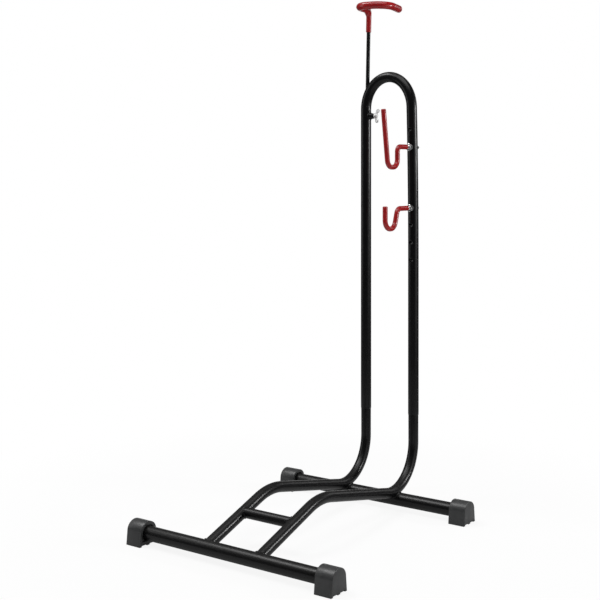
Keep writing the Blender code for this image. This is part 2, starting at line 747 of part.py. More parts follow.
def hook_nut(name, hook_pivot):
    """Low chamfered hexagon nut on the hook's thread, against its saddle."""
    corner = NUT_FLATS / sqrt(3)
    mesh = bpy.data.meshes.new(name)
    shape = bmesh.new()
    bmesh.ops.create_cone(shape, cap_ends=True, segments=6, radius1=corner, radius2=corner,
                          depth=NUT_HEIGHT)
    bmesh.ops.translate(shape, verts=shape.verts, vec=(0.0, 0.0, NUT_HEIGHT / 2))
    shape.to_mesh(mesh)
    shape.free()
    nut = on_bolt(add_object(name, mesh, PARTS), hook_pivot, -1, NUT_START)
    bore = HOOK_RADIUS + GAP
    flat = NUT_FLATS / 2 - NUT_CHAMFER / 4
    rim = corner + NUT_CHAMFER / 2
    profile = [(bore, NUT_HEIGHT), (flat, NUT_HEIGHT), (rim, NUT_HEIGHT - NUT_CHAMFER),
               (rim, NUT_CHAMFER), (flat, 0.0), (bore, 0.0)]
    lens = turned(name + "_chamfer", profile, CUTTERS, closed=True)
    combine(nut, place(lens, nut), "INTERSECT")
    return finish(nut, ZINC)


def post_seat(name, hook_pivot, way, diameter, crown, height):
    """Round plate on the hook's bolt that wraps the post, on its front or its back."""
    bore = HOOK_RADIUS + GAP
    rim = diameter / 2
    wrap = LOOP_RADIUS - sqrt(LOOP_RADIUS ** 2 - rim ** 2)
    profile = [(bore, crown), (rim, crown), (rim, -wrap), (bore, -wrap)]
    seat = turned(name, profile, PARTS, closed=True)
    on_bolt(seat, hook_pivot, way, SADDLE_START)
    return cut(seat, post_cutter(name + "_wrap", right_leg_x, height, diameter))


def build_hook(name, height, path_from, tail):
    """J hook with its cover and fasteners, on a pivot at its bolt's axis."""
    hook_pivot = pivot(name + "_pivot", (right_leg_x(height), POST_Y, height))
    bare = path_from(-FLANGE_FACE - tail)
    steel = round_rod(name + "_rod", shortened(bare, COVER_END + GAP), HOOK_RADIUS, ROD_SIDES, PARTS)
    finish(place(steel, hook_pivot), ZINC)
    cover_start = NUT_START + NUT_HEIGHT + BARE_THREAD
    cover = rounded_rod(name + "_cover", path_from(cover_start), HOOK_COVER_DIAMETER / 2,
                        HOOK_COVER_ROUNDING, COVER_SIDES, PARTS)
    core = shortened(path_from(cover_start - CUTTER_MARGIN), COVER_END)
    bore = round_rod(name + "_cover_bore", core, HOOK_RADIUS + GAP, ROD_SIDES, CUTTERS)
    cut(place(cover, hook_pivot), place(bore, hook_pivot))
    finish(cover, RED_VINYL)
    hook_nut(name + "_front_nut", hook_pivot)
    saddle = post_seat(name + "_front_saddle", hook_pivot, -1, SADDLE_DIAMETER, SADDLE_CROWN,
                       height)
    finish(saddle, BLACK_PLASTIC)
    flange = post_seat(name + "_back_nut", hook_pivot, 1, FLANGE_DIAMETER, FLANGE_CROWN, height)
    finish(flange, BLACK_PAINT)


def build_frame():
    """Welded lower frame: cross tubes, arms, crossbar and joint sleeves."""
    cross_tube("front_cross_tube", FRONT_Y, -FRONT_HALF_WIDTH, FRONT_HALF_WIDTH)
    cross_tube("rear_cross_tube", REAR_Y, -REAR_LEFT_REACH, REAR_RIGHT_REACH)
    arm_tube("left_arm_tube", LEFT_ARM)
    arm_tube("right_arm_tube", RIGHT_ARM)
    arm_crossbar()
    joint_sleeve("left_joint_sleeve", LEFT_X)
    joint_sleeve("right_joint_sleeve", RIGHT_X)


def build_stand():
    """Build every piece of the stand."""
    build_frame()
    build_feet()
    upper_loop()
    clamp_pivot = pivot("clamp_pivot", (CLAMP_X, POST_Y, CLAMP_HEIGHT), (0.0, pi / 2, 0.0))
    clamp_boss(clamp_pivot)
    wing_bolt(clamp_pivot)
    build_mast(pivot("mast_pivot", (LEFT_X + MAST_EXIT_OFFSET, POST_Y, MAST_EXIT_HEIGHT),
                     (0.0, MAST_LEAN, 0.0)))
    build_hook("upper_hook", UPPER_BOLT_HEIGHT, upper_hook_path, UPPER_TAIL)
    build_hook("lower_hook", LOWER_BOLT_HEIGHT, lower_hook_path, LOWER_TAIL)


clear_scene()
PARTS = new_collection("bike_stand")
CUTTERS = new_collection("bike_stand_cutters")
BLACK_PAINT = material("black_powder_coat", (0.012, 0.012, 0.013), 0.32, 0.0)
GREY_PLASTIC = material("grey_moulded_plastic", (0.045, 0.046, 0.048), 0.55, 0.0)
BLACK_PLASTIC = material("black_nylon", (0.02, 0.02, 0.02), 0.5, 0.0)
RED_VINYL = material("red_dipped_vinyl", (0.40, 0.012, 0.018), 0.28, 0.0)
ZINC = material("zinc_plated_steel", (0.62, 0.63, 0.65), 0.3, 1.0)
BARE_STEEL = material("bare_steel", (0.45, 0.45, 0.46), 0.4, 1.0)
build_stand()
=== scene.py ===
"""Looks of a bike stand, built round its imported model.

The frame of this file is the model's own: metres, +Z up, the floor at z = 0, and the bike on the
-Y side of the posts. Each sub-assembly is a class that takes its places from the model, builds its
meshes and dresses them. Every piece then rides on the body that carries it.
"""

import json
import logging
from dataclasses import dataclass, field, replace
from enum import Enum
from functools import partial, reduce
from math import acos, asin, atan2, ceil, cos, pi, radians, sin, sqrt, tan
from typing import Callable, ClassVar, Sequence

import bmesh
import bpy
from mathutils import Matrix, Vector


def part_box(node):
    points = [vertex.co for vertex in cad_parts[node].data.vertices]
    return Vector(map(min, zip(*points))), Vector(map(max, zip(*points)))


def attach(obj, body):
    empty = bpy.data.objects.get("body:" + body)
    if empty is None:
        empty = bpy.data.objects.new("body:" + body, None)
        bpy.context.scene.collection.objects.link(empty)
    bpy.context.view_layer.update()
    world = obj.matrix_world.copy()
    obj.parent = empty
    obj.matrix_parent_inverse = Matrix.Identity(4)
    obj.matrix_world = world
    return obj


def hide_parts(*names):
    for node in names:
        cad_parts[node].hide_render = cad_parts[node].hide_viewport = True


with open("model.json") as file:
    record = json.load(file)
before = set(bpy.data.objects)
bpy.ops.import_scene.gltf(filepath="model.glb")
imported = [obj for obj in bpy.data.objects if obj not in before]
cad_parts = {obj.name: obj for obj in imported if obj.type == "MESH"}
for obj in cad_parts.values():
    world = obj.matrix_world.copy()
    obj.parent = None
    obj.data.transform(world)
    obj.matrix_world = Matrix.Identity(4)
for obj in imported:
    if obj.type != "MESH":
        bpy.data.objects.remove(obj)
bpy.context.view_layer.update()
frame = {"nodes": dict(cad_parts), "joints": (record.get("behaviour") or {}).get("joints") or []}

LOG = logging.getLogger("bike_stand")

Colour = tuple[float, float, float]
Place = tuple[float, float, float]
Span = tuple[float, float]
Socket = bpy.types.NodeSocket
Mesh = bmesh.types.BMesh
Edge = bmesh.types.BMEdge
Vert = bmesh.types.BMVert
Path = list[Vector]
Line = tuple[Path, list[Vector]]
Ring = Span | Callable[[float], Span]

ALONG_X = Vector((1.0, 0.0, 0.0))
UP = Vector((0.0, 0.0, 1.0))
SAME_PLACE = 1e-6


class Body(Enum):
    """Bodies of the model that pieces ride on."""

    FRAME = "frame"
    LOOP = "loop"
    CLAMP_BOLT = "clamp_bolt"
    MAST = "mast"
    UPPER_HOOK = "upper_hook"
    LOWER_HOOK = "lower_hook"


class Slot(Enum):
    """Material slots of the model's record."""

    BLACK_PAINT = "black_paint"
    GREY_PLASTIC = "grey_plastic"
    BLACK_PLASTIC = "black_plastic"
    RED_VINYL = "red_vinyl"
    ZINC = "zinc"
    BARE_STEEL = "bare_steel"


class Side(Enum):
    """Sides of the stand, seen by a person who faces its posts from the bike's side."""

    LEFT = "left"
    RIGHT = "right"


class Joining(Enum):
    """What a shape does to the piece that it is combined with."""

    CUT_OUT = "DIFFERENCE"
    MERGE = "UNION"


class Mixed(Enum):
    """What a Mix node mixes, with the places of its two inputs and of its output."""

    VALUES = ("FLOAT", 2, 3, 0)
    COLOURS = ("RGBA", 6, 7, 2)


class NodeTree:
    """Short way to add linked shader nodes to a material, a world or a node group."""

    def __init__(self, tree: bpy.types.NodeTree) -> None:
        """Keep the tree that nodes are added to."""
        self.tree = tree

    def put(self, socket: Socket, value: object) -> None:
        """Feed an input.

        Args:
            socket: The input.
            value: Another node's output, which is linked to it, or its plain value.
        """
        if isinstance(value, bpy.types.NodeSocket):
            self.tree.links.new(value, socket)
        else:
            socket.default_value = value

    def feed(self, node: bpy.types.Node, **inputs: object) -> None:
        """Feed a node's inputs by their names, with _ for a space."""
        for key, value in inputs.items():
            self.put(node.inputs[key.replace("_", " ")], value)

    def add(self, kind: str, settings: dict | None = None, **inputs: object) -> bpy.types.Node:
        """Add a node, set its properties and feed its inputs.

        Args:
            kind: Node type, such as ShaderNodeBump.
            settings: Properties of the node itself.
            inputs: Values or output sockets by input name, with _ for a space.

        Returns:
            The new node.
        """
        node = self.tree.nodes.new(kind)
        for key, value in (settings or {}).items():
            setattr(node, key, value)
        self.feed(node, **inputs)
        return node

    def group(self, tree: bpy.types.NodeTree, **inputs: object) -> Socket:
        """Place a node group that has one output, feed its inputs and give its output."""
        return self.add("ShaderNodeGroup", {"node_tree": tree}, **inputs).outputs[0]

    def math(self, operation: str, first: object, second: object) -> Socket:
        """Add a Math node.

        Args:
            operation: Blender's name of the operation.
            first: Value or socket of its first input.
            second: Value or socket of its second input.

        Returns:
            The node's output socket.
        """
        node = self.add("ShaderNodeMath", {"operation": operation})
        self.put(node.inputs[0], first)
        self.put(node.inputs[1], second)
        return node.outputs[0]

    def mix(self, what: Mixed, factor: Socket, first: object, second: object) -> Socket:
        """Add a Mix node.

        Args:
            what: Whether it mixes values or colours.
            factor: Share of the second input.
            first: Value, colour or socket of its first input.
            second: Value, colour or socket of its second input.

        Returns:
            The node's output socket.
        """
        kind, first_input, second_input, output = what.value
        node = self.add("ShaderNodeMix", {"data_type": kind})
        self.put(node.inputs[0], factor)
        self.put(node.inputs[first_input], first)
        self.put(node.inputs[second_input], second)
        return node.outputs[output]

    def ramp(self, value: Socket, start: float, end: float, low: object, high: object) -> Socket:
        """Add a soft step from one value to another.

        Args:
            value: Socket that the step follows.
            start: Where the step begins.
            end: Where the step ends.
            low: Value or socket before the step.
            high: Value or socket after the step.

        Returns:
            The node's output socket.
        """
        node = self.add("ShaderNodeMapRange", {"interpolation_type": "SMOOTHSTEP"}, Value=value,
                        From_Min=start, From_Max=end, To_Min=low, To_Max=high)
        return node.outputs["Result"]


def new_group(name: str, inputs: dict[str, float | None],
              output: str) -> tuple[NodeTree, bpy.types.NodeOutputs, Socket]:
    """Make an empty node group with its sockets.

    Args:
        name: Name of the group.
        inputs: Default value by input name, or None for a vector.
        output: Name of its only output, which is a value.

    Returns:
        The group's node adder, its inputs by name and the socket of its output.
    """
    group = bpy.data.node_groups.new(name, "ShaderNodeTree")
    for label, default in inputs.items():
        kind = "NodeSocketVector" if default is None else "NodeSocketFloat"
        socket = group.interface.new_socket(label, in_out="INPUT", socket_type=kind)
        if default is not None:
            socket.default_value = default
    group.interface.new_socket(output, in_out="OUTPUT", socket_type="NodeSocketFloat")
    given = group.nodes.new("NodeGroupInput").outputs
    return NodeTree(group), given, group.nodes.new("NodeGroupOutput").inputs[output]


class Effects:
    """Shared surface effects, each a node group that is built once."""

    def __init__(self) -> None:
        """Build the groups."""
        self.relief = self._relief()
        self.patches = self._patches()
        self.streaks = self._streaks()
        self.dust_and_painted_light = self._dust_and_painted_light()

    @staticmethod
    def _relief() -> bpy.types.NodeTree:
        """Fine relief of two sizes, such as the skin of powder paint or a mould's grain."""
        nodes, given, height = new_group(
            "surface_relief", {"Vector": None, "Coarse": 300.0, "Fine": 1500.0, "Balance": 0.4},
            "Height")
        coarse = nodes.add("ShaderNodeTexNoise", Vector=given["Vector"], Scale=given["Coarse"],
                           Detail=2.0, Roughness=0.45)
        fine = nodes.add("ShaderNodeTexVoronoi", {"feature": "SMOOTH_F1"}, Vector=given["Vector"],
                         Scale=given["Fine"], Smoothness=0.6)
        nodes.put(height, nodes.mix(Mixed.VALUES, given["Balance"], coarse.outputs["Fac"],
                                    fine.outputs["Distance"]))
        return nodes.tree

    @staticmethod
    def _patches() -> bpy.types.NodeTree:
        """Soft patches that swing between two values, such as handling marks in a gloss."""
        nodes, given, value = new_group(
            "soft_patches", {"Vector": None, "Scale": 8.0, "Low": 0.3, "High": 0.4}, "Value")
        noise = nodes.add("ShaderNodeTexNoise", Vector=given["Vector"], Scale=given["Scale"],
                          Detail=4.0, Roughness=0.6, Distortion=0.3)
        nodes.put(value, nodes.ramp(noise.outputs["Fac"], 0.3, 0.7, given["Low"], given["High"]))
        return nodes.tree

    @staticmethod
    def _streaks() -> bpy.types.NodeTree:
        """Fine lines across an axis, such as the marks of drawing or turning."""
        nodes, given, mask = new_group(
            "tool_streaks", {"Vector": None, "Stretch": None, "Scale": 900.0}, "Mask")
        scaled = nodes.add("ShaderNodeVectorMath", {"operation": "MULTIPLY"},
                           Vector=given["Vector"])
        nodes.put(scaled.inputs[1], given["Stretch"])
        noise = nodes.add("ShaderNodeTexNoise", Vector=scaled.outputs[0], Scale=given["Scale"],
                          Detail=3.0, Roughness=0.7)
        nodes.put(mask, noise.outputs["Fac"])
        return nodes.tree

    @staticmethod
    def _dust_and_painted_light() -> bpy.types.NodeTree:
        """Thin settled dust on what faces up, broken up by patches, which also paints the upward
        faces lighter: dust and painted top light.
        """
        nodes, given, mask = new_group("settled_dust", {"Vector": None, "Amount": 0.1}, "Mask")
        normal = nodes.add("ShaderNodeNewGeometry").outputs["Normal"]
        facing = nodes.add("ShaderNodeSeparateXYZ", Vector=normal).outputs["Z"]
        upward = nodes.ramp(facing, 0.2, 1.0, 0.0, 1.0)
        noise = nodes.add("ShaderNodeTexNoise", Vector=given["Vector"], Scale=60.0, Detail=6.0,
                          Roughness=0.7)
        broken = nodes.math("MULTIPLY", upward, noise.outputs["Fac"])
        nodes.put(mask, nodes.math("MULTIPLY", broken, given["Amount"]))
        return nodes.tree


@dataclass(frozen=True)
class Grain:
    """Relief of two sizes in waves per metre, with the share of the finer one."""

    coarse: float
    fine: float
    share: float

    def height(self, nodes: NodeTree, effects: Effects, place: Socket) -> Socket:
        """Height of the relief at a place."""
        return nodes.group(effects.relief, Vector=place, Coarse=self.coarse, Fine=self.fine,
                           Balance=self.share)


@dataclass(frozen=True)
class ToolLines:
    """Fine lines of a metal's making, with their stretch along each axis."""

    stretch: Place
    scale: float = 1400.0

    def height(self, nodes: NodeTree, effects: Effects, place: Socket) -> Socket:
        """Height of the lines at a place."""
        return nodes.group(effects.streaks, Vector=place, Stretch=self.stretch, Scale=self.scale)


@dataclass(frozen=True)
class Finish:
    """Look of a material: a colour, another one in blotches and in dust with painted top light,
    gloss and fine relief.

    What only some finishes have goes in shine: inputs of the Principled shader by their names,
    with _ for a space.
    """

    name: str
    colour: Colour
    other_colour: Colour
    gloss: Span
    gloss_scale: float
    relief: Grain | ToolLines
    strength: float
    depth: float
    blotch: Span | None = None
    blotch_scale: float = 1.0
    dust_and_painted_light: float = 0.0
    dust_and_painted_light_dulling: float = 0.0
    shine: dict[str, float | Place] = field(default_factory=dict)

    def material(self, effects: Effects) -> bpy.types.Material:
        """Make the material.

        Args:
            effects: Shared node groups.

        Returns:
            The material.
        """
        made = bpy.data.materials.new(self.name)
        made.use_nodes = True
        nodes = NodeTree(made.node_tree)
        place = nodes.add("ShaderNodeTexCoord").outputs["Object"]

        def patches(scale: float, span: Span) -> Socket:
            """Soft patches between two values."""
            return nodes.group(effects.patches, Vector=place, Scale=scale, Low=span[0],
                               High=span[1])

        rough = patches(self.gloss_scale, self.gloss)
        masks = [patches(self.blotch_scale, self.blotch)] if self.blotch else []
        # Dust mask on upward faces, which also paints them lighter as painted top light; it dulls
        # the gloss there too.
        if self.dust_and_painted_light:
            masks.append(nodes.group(effects.dust_and_painted_light, Vector=place, Amount=self.dust_and_painted_light))
            rough = nodes.math("ADD", rough, nodes.math("MULTIPLY", masks[-1], self.dust_and_painted_light_dulling))
        mask = reduce(partial(nodes.math, "ADD"), masks)
        tone = nodes.mix(Mixed.COLOURS, mask, (*self.colour, 1.0), (*self.other_colour, 1.0))
        bump = nodes.add("ShaderNodeBump", Height=self.relief.height(nodes, effects, place),
                         Strength=self.strength, Distance=self.depth)
        nodes.feed(made.node_tree.nodes["Principled BSDF"], Base_Color=tone, Roughness=rough,
                   Normal=bump.outputs["Normal"], **self.shine)
        return made


# Its other colour on upward faces is partly settled dust and partly painted top light, which makes
# the tops of the tubes lighter.
POWDER_COAT = Finish(
    "black_powder_coat", colour=(0.0024, 0.0024, 0.0028), other_colour=(0.085, 0.083, 0.080),
    gloss=(0.27, 0.31), gloss_scale=14.0, relief=Grain(700.0, 2100.0, 0.3), strength=0.35,
    depth=0.000010, dust_and_painted_light=0.28, dust_and_painted_light_dulling=0.5, shine={"Specular_IOR_Level": 0.34})
# Its lighter colour on upward faces is partly dust and partly painted top light on the tops of the
# feet.
MOULDED_PLASTIC = Finish(
    "grey_moulded_plastic", colour=(0.0265, 0.0272, 0.0280), other_colour=(0.120, 0.120, 0.121),
    gloss=(0.33, 0.42), gloss_scale=90.0, relief=Grain(900.0, 1980.0, 0.55), strength=0.6,
    depth=0.00012, blotch=(0.0, 0.07), blotch_scale=45.0, dust_and_painted_light=0.50)
DIPPED_VINYL = Finish(
    "red_dipped_vinyl", colour=(0.345, 0.005, 0.007), other_colour=(0.25, 0.003, 0.005),
    gloss=(0.26, 0.33), gloss_scale=55.0, relief=Grain(75.0, 800.0, 0.06), strength=0.5,
    depth=0.00010, blotch=(0.0, 0.75), blotch_scale=22.0,
    shine={"Specular_IOR_Level": 0.38, "Subsurface_Weight": 0.08,
           "Subsurface_Radius": (0.003, 0.0006, 0.0006), "Coat_Weight": 0.36,
           "Coat_Roughness": 0.22})
ZINC_PLATE = Finish(
    "bright_zinc", colour=(0.70, 0.71, 0.72), other_colour=(0.50, 0.50, 0.48),
    gloss=(0.18, 0.32), gloss_scale=260.0, relief=ToolLines((1.0, 0.08, 1.0)), strength=0.4,
    depth=0.00003, blotch=(0.0, 0.6), blotch_scale=120.0, shine={"Metallic": 1.0})


class Wardrobe:
    """The stand's materials by the record's slot, and two more that share a slot."""

    def __init__(self) -> None:
        """Make every material."""
        # The nylon keeps a little of the same dust and painted top light.
        nylon = replace(MOULDED_PLASTIC, name="black_nylon", colour=(0.016, 0.016, 0.017),
                        other_colour=(0.035, 0.035, 0.036), gloss=(0.38, 0.5),
                        relief=Grain(1500.0, 3300.0, 0.55), depth=0.00006, dust_and_painted_light=0.05)
        steel = replace(ZINC_PLATE, name="drawn_steel", colour=(0.42, 0.42, 0.43),
                        other_colour=(0.30, 0.29, 0.28), gloss=(0.32, 0.5),
                        relief=ToolLines((1.0, 1.0, 0.05)), depth=0.00005)
        casting = replace(ZINC_PLATE, name="cast_zinc", colour=(0.90, 0.90, 0.90),
                          other_colour=(0.76, 0.76, 0.75), gloss=(0.56, 0.66))
        rod_paint = replace(POWDER_COAT, name="rod_powder_coat", gloss=(0.36, 0.42))
        finishes = {Slot.BLACK_PAINT: POWDER_COAT, Slot.GREY_PLASTIC: MOULDED_PLASTIC,
                    Slot.BLACK_PLASTIC: nylon, Slot.RED_VINYL: DIPPED_VINYL,
                    Slot.ZINC: ZINC_PLATE, Slot.BARE_STEEL: steel}
        effects = Effects()
        self.materials = {slot: finish.material(effects) for slot, finish in finishes.items()}
        self.rod_paint = rod_paint.material(effects)
        self.casting = casting.material(effects)

    def dress(self, piece: bpy.types.Object, slot: Slot) -> None:
        """Give a piece the material of a slot, as its only one."""
        piece.data.materials.clear()
        piece.data.materials.append(self.materials[slot])


def even_steps(whole: float, count: int) -> list[float]:
    """A whole amount in even steps, from 0 up to the whole itself."""
    return [whole * step / count for step in range(count + 1)]


def route(corners: Sequence[Vector], radii: Sequence[float], chord: float) -> Path:
    """Points along straight runs with an arc at each inner corner.

    Args:
        corners: Corners of the path, with its two ends.
        radii: Radius of the arc at each inner corner.
        chord: Longest step along an arc.

    Returns:
        The points, close together in the arcs only.
    """
    points = [corners[0].copy()]
    for before, corner, after, radius in zip(corners, corners[1:], corners[2:], radii):
        back = (before - corner).normalized()
        onward = (after - corner).normalized()
        opening = acos(max(-1.0, min(1.0, back.dot(onward))))
        start = corner + back * radius / tan(opening / 2)
        centre = corner + (back + onward).normalized() * radius / sin(opening / 2)
        across = (start - centre).normalized()
        turn = pi - opening
        for angle in even_steps(turn, max(4, ceil(turn * radius / chord))):
            points.append(centre + radius * (across * cos(angle) - back * sin(angle)))
    points.append(corners[-1].copy())
    return points


def refined(points: Path, spacing: float) -> Path:
    """The same path with points added so that none are further apart than a spacing.

    Args:
        points: The path.
        spacing: Widest gap that is left between two points.

    Returns:
        The finer path.
    """
    fine = [points[0]]
    for before, after in zip(points, points[1:]):
        steps = max(1, ceil((after - before).length / spacing))
        fine += [before.lerp(after, share) for share in even_steps(1.0, steps)[1:]]
    return fine


def shortened(points: Path, cut: float) -> Path:
    """The same path with its last point moved back along the last run."""
    back = (points[-2] - points[-1]).normalized()
    return points[:-1] + [points[-1] + back * cut]


def distances(points: Path) -> list[float]:
    """Distance along a path of each of its points.

    Args:
        points: The path.

    Returns:
        The distances, which start from 0.
    """
    run = [0.0]
    for before, after in zip(points, points[1:]):
        run.append(run[-1] + (after - before).length)
    return run


def placings(points: Path, outward: Sequence[Vector] | None = None,
             closed: bool = False) -> list[Matrix]:
    """Place of a ring at each point of a path, square to the path.

    Args:
        points: The path.
        outward: Direction of the ring's X axis at each point, for a weld or a thread. Without it,
            the ring is carried along without twist.
        closed: Whether the last point is the first one again.

    Returns:
        A matrix for each point, whose Z axis runs along the path.
    """
    if closed:
        points = points[:-1] + points[:1]
        longer = points[-2:-1] + points + points[1:2]
    else:
        longer = points[:1] + points + points[-1:]
    places = []
    side = None
    for index, (before, point, after) in enumerate(zip(longer, points, longer[2:])):
        along = (after - before).normalized()
        if outward is not None:
            side = outward[index]
        elif side is None:
            side = along.orthogonal()
        side = (side - along * side.dot(along)).normalized()
        turn = Matrix((side, along.cross(side), along)).transposed()
        places.append(Matrix.Translation(point) @ turn.to_4x4())
    return places


def parts(geometry: Sequence[object], kind: type) -> list:
    """The vertices, edges or faces among what an operator gives back."""
    return [item for item in geometry if isinstance(item, kind)]


def closed_up(shape: Mesh, *rims: list[Edge]) -> Mesh:
    """Fill the open rims of a shape and turn its faces outwards.

    Args:
        shape: The shape.
        rims: Edges of each open rim.

    Returns:
        The same shape.
    """
    for rim in rims:
        bmesh.ops.edgeloop_fill(shape, edges=rim)
    bmesh.ops.recalc_face_normals(shape, faces=shape.faces)
    return shape


def sweep(places: Sequence[Matrix], radii: Sequence[float], sides: int,
          closed: bool = False) -> Mesh:
    """Sweep a ring through a row of places by extruding its edges.

    Args:
        places: Place of the ring at each station.
        radii: Radius of the ring at each station.
        sides: Number of sides of the ring.
        closed: Whether the last station is the first one again.

    Returns:
        The swept shape, without an open end.
    """
    shape = bmesh.new()
    sized = [place @ Matrix.Scale(radius, 4) for place, radius in zip(places, radii)]
    bmesh.ops.create_circle(shape, cap_ends=False, segments=sides, radius=1.0, matrix=sized[0])
    first = ring = shape.edges[:]
    for before, after in zip(sized, sized[1:]):
        grown = bmesh.ops.extrude_edge_only(shape, edges=ring)["geom"]
        ring = parts(grown, Edge)
        bmesh.ops.transform(shape, matrix=after @ before.inverted(), verts=parts(grown, Vert))
    if not closed:
        return closed_up(shape, first, ring)
    bmesh.ops.remove_doubles(shape, verts=shape.verts, dist=0.00001)
    return closed_up(shape)


def rounded_ends(points: Path, radius: float, start: float, end: float,
                 steps: int = 6) -> tuple[Path, list[float]]:
    """Stations of a rod whose ends are rounded over.

    Args:
        points: The rod's path, over its full length.
        radius: The rod's radius.
        start: Rounding of its first end, or 0 for a square end.
        end: Rounding of its last end, or 0 for a square end.
        steps: Steps in each rounding.

    Returns:
        The stations and the radius at each.
    """
    stations = [point.copy() for point in points]
    sizes = [radius] * len(points)
    for size in (start, end):
        if size > 0.0:
            tip = stations[0]
            inward = (stations[1] - tip).normalized()
            stations[0] = tip + inward * size
            angles = even_steps(pi / 2, steps)[:-1]
            stations = [tip + inward * size * (1.0 - cos(angle)) for angle in angles] + stations
            sizes = [radius - size * (1.0 - sin(angle)) for angle in angles] + sizes
        stations.reverse()
        sizes.reverse()
    return stations, sizes


def polar_form(rings: Sequence[Ring], sides: int, closed: bool = False) -> Mesh:
    """Shape from rings about Z.

    Args:
        rings: From the first ring to the last, a radius and a height, or a function that gives
            them at an angle.
        sides: Number of steps round a ring.
        closed: Whether the last ring joins the first one, as round a bore.

    Returns:
        The shape, closed by its rings or by a face at each end.
    """
    shape = bmesh.new()
    bmesh.ops.create_circle(shape, cap_ends=False, segments=sides, radius=1.0)
    corners = shape.verts[:]
    first = edges = shape.edges[:]
    for number, ring in enumerate(rings):
        if number:
            grown = bmesh.ops.extrude_edge_only(shape, edges=edges)["geom"]
            edges = parts(grown, Edge)
            corners = parts(grown, Vert)
        for corner in corners:
            angle = atan2(corner.co.y, corner.co.x)
            radius, height = ring(angle) if callable(ring) else ring
            corner.co = (radius * cos(angle), radius * sin(angle), height)
    if not closed:
        return closed_up(shape, first, edges)
    bmesh.ops.bridge_loops(shape, edges=first + edges)
    return closed_up(shape)


def lip(radius: float, top: float, soft: float, steps: int) -> list[Span]:
    """Rings of a rounded outer edge, from the flat top down.

    Args:
        radius: Radius of the rim.
        top: Height of the flat top.
        soft: Radius of the rounding.
        steps: Steps in the rounding.

    Returns:
        The rings' radii and heights.
    """
    return [(radius - soft + soft * sin(angle), top - soft + soft * cos(angle))
            for angle in even_steps(pi / 2, steps)]


def outlined(shape: Mesh, points: Sequence[Sequence[float]]) -> list[Edge]:
    """Closed loop of edges through a row of points.

    Args:
        shape: Shape that the loop goes into.
        points: The loop's corners in order.

    Returns:
        The loop's edges.
    """
    made = bmesh.ops.create_circle(shape, cap_ends=False, segments=len(points), radius=1.0)
    for corner, point in zip(made["verts"], points):
        corner.co = point
    return list(dict.fromkeys(edge for corner in made["verts"] for edge in corner.link_edges))


def prism(points: Sequence[Sequence[float]], move: Sequence[float]) -> Mesh:
    """Solid between an outline and its moved copy.

    Args:
        points: The outline's corners in order.
        move: Way from the outline to its copy.

    Returns:
        The shape.
    """
    shape = bmesh.new()
    face = bmesh.ops.edgeloop_fill(shape, edges=outlined(shape, points))["faces"]
    grown = bmesh.ops.extrude_face_region(shape, geom=face)["geom"]
    bmesh.ops.translate(shape, verts=parts(grown, Vert), vec=move)
    return closed_up(shape)


def soften(shape: Mesh, edges: Sequence[Edge], size: float, steps: int) -> None:
    """Round edges over with a number of steps."""
    bmesh.ops.bevel(shape, geom=edges, offset=size, offset_type="OFFSET", segments=steps,
                    profile=0.5, affect="EDGES", material=-1, clamp_overlap=True)


def shade_mesh(mesh: bpy.types.Mesh, sharp: float) -> None:
    """Shade a mesh smooth, with sharp edges over an angle in degrees."""
    mesh.shade_smooth()
    mesh.set_sharp_from_angle(angle=radians(sharp))


def piece_from(shape: Mesh, name: str, place: Matrix | None = None,
               sharp: float = 35.0) -> bpy.types.Object:
    """Turn a shape into a smooth-shaded object at the origin.

    Args:
        shape: The shape, which is freed.
        name: The object's name.
        place: Transform that is applied to the mesh first.
        sharp: Angle in degrees over which an edge stays sharp.

    Returns:
        The object.
    """
    if place is not None:
        bmesh.ops.transform(shape, matrix=place, verts=shape.verts)
    mesh = bpy.data.meshes.new(name)
    shape.to_mesh(mesh)
    shape.free()
    shade_mesh(mesh, sharp)
    made = bpy.data.objects.new(name, mesh)
    bpy.context.scene.collection.objects.link(made)
    return made


def combine(piece: bpy.types.Object, joining: Joining, shapes: Sequence[bpy.types.Object],
            sharp: float) -> None:
    """Cut shapes out of a piece or merge them with it, and remove them.

    Args:
        piece: The piece.
        joining: Whether the shapes are cut out or merged.
        shapes: The closed shapes.
        sharp: Angle in degrees over which an edge stays sharp afterwards.
    """
    for shape in shapes:
        boolean = piece.modifiers.new(shape.name, "BOOLEAN")
        boolean.operation = joining.value
        boolean.solver = "EXACT"
        boolean.object = shape
    bpy.context.view_layer.update()
    graph = bpy.context.evaluated_depsgraph_get()
    mesh = bpy.data.meshes.new_from_object(piece.evaluated_get(graph))
    mesh.name = piece.name
    piece.modifiers.clear()
    piece.data = mesh
    for shape in shapes:
        bpy.data.objects.remove(shape)
    shade_mesh(mesh, sharp)


def rod_piece(name: str, points: Path, radius: float, sides: int, start: float = 0.0,
              end: float = 0.0) -> bpy.types.Object:
    """Round rod or tube skin along a path, with rounded ends."""
    stations, radii = rounded_ends(points, radius, start, end)
    return piece_from(sweep(placings(stations), radii, sides), name)


def joint_of(name: str) -> dict:
    """A joint of the model by its name."""
    return next(joint for joint in frame["joints"] if joint["name"] == name)


def joint_place(name: str) -> Vector:
    """Point on a joint's axis."""
    return Vector(joint_of(name)["pos_m"])


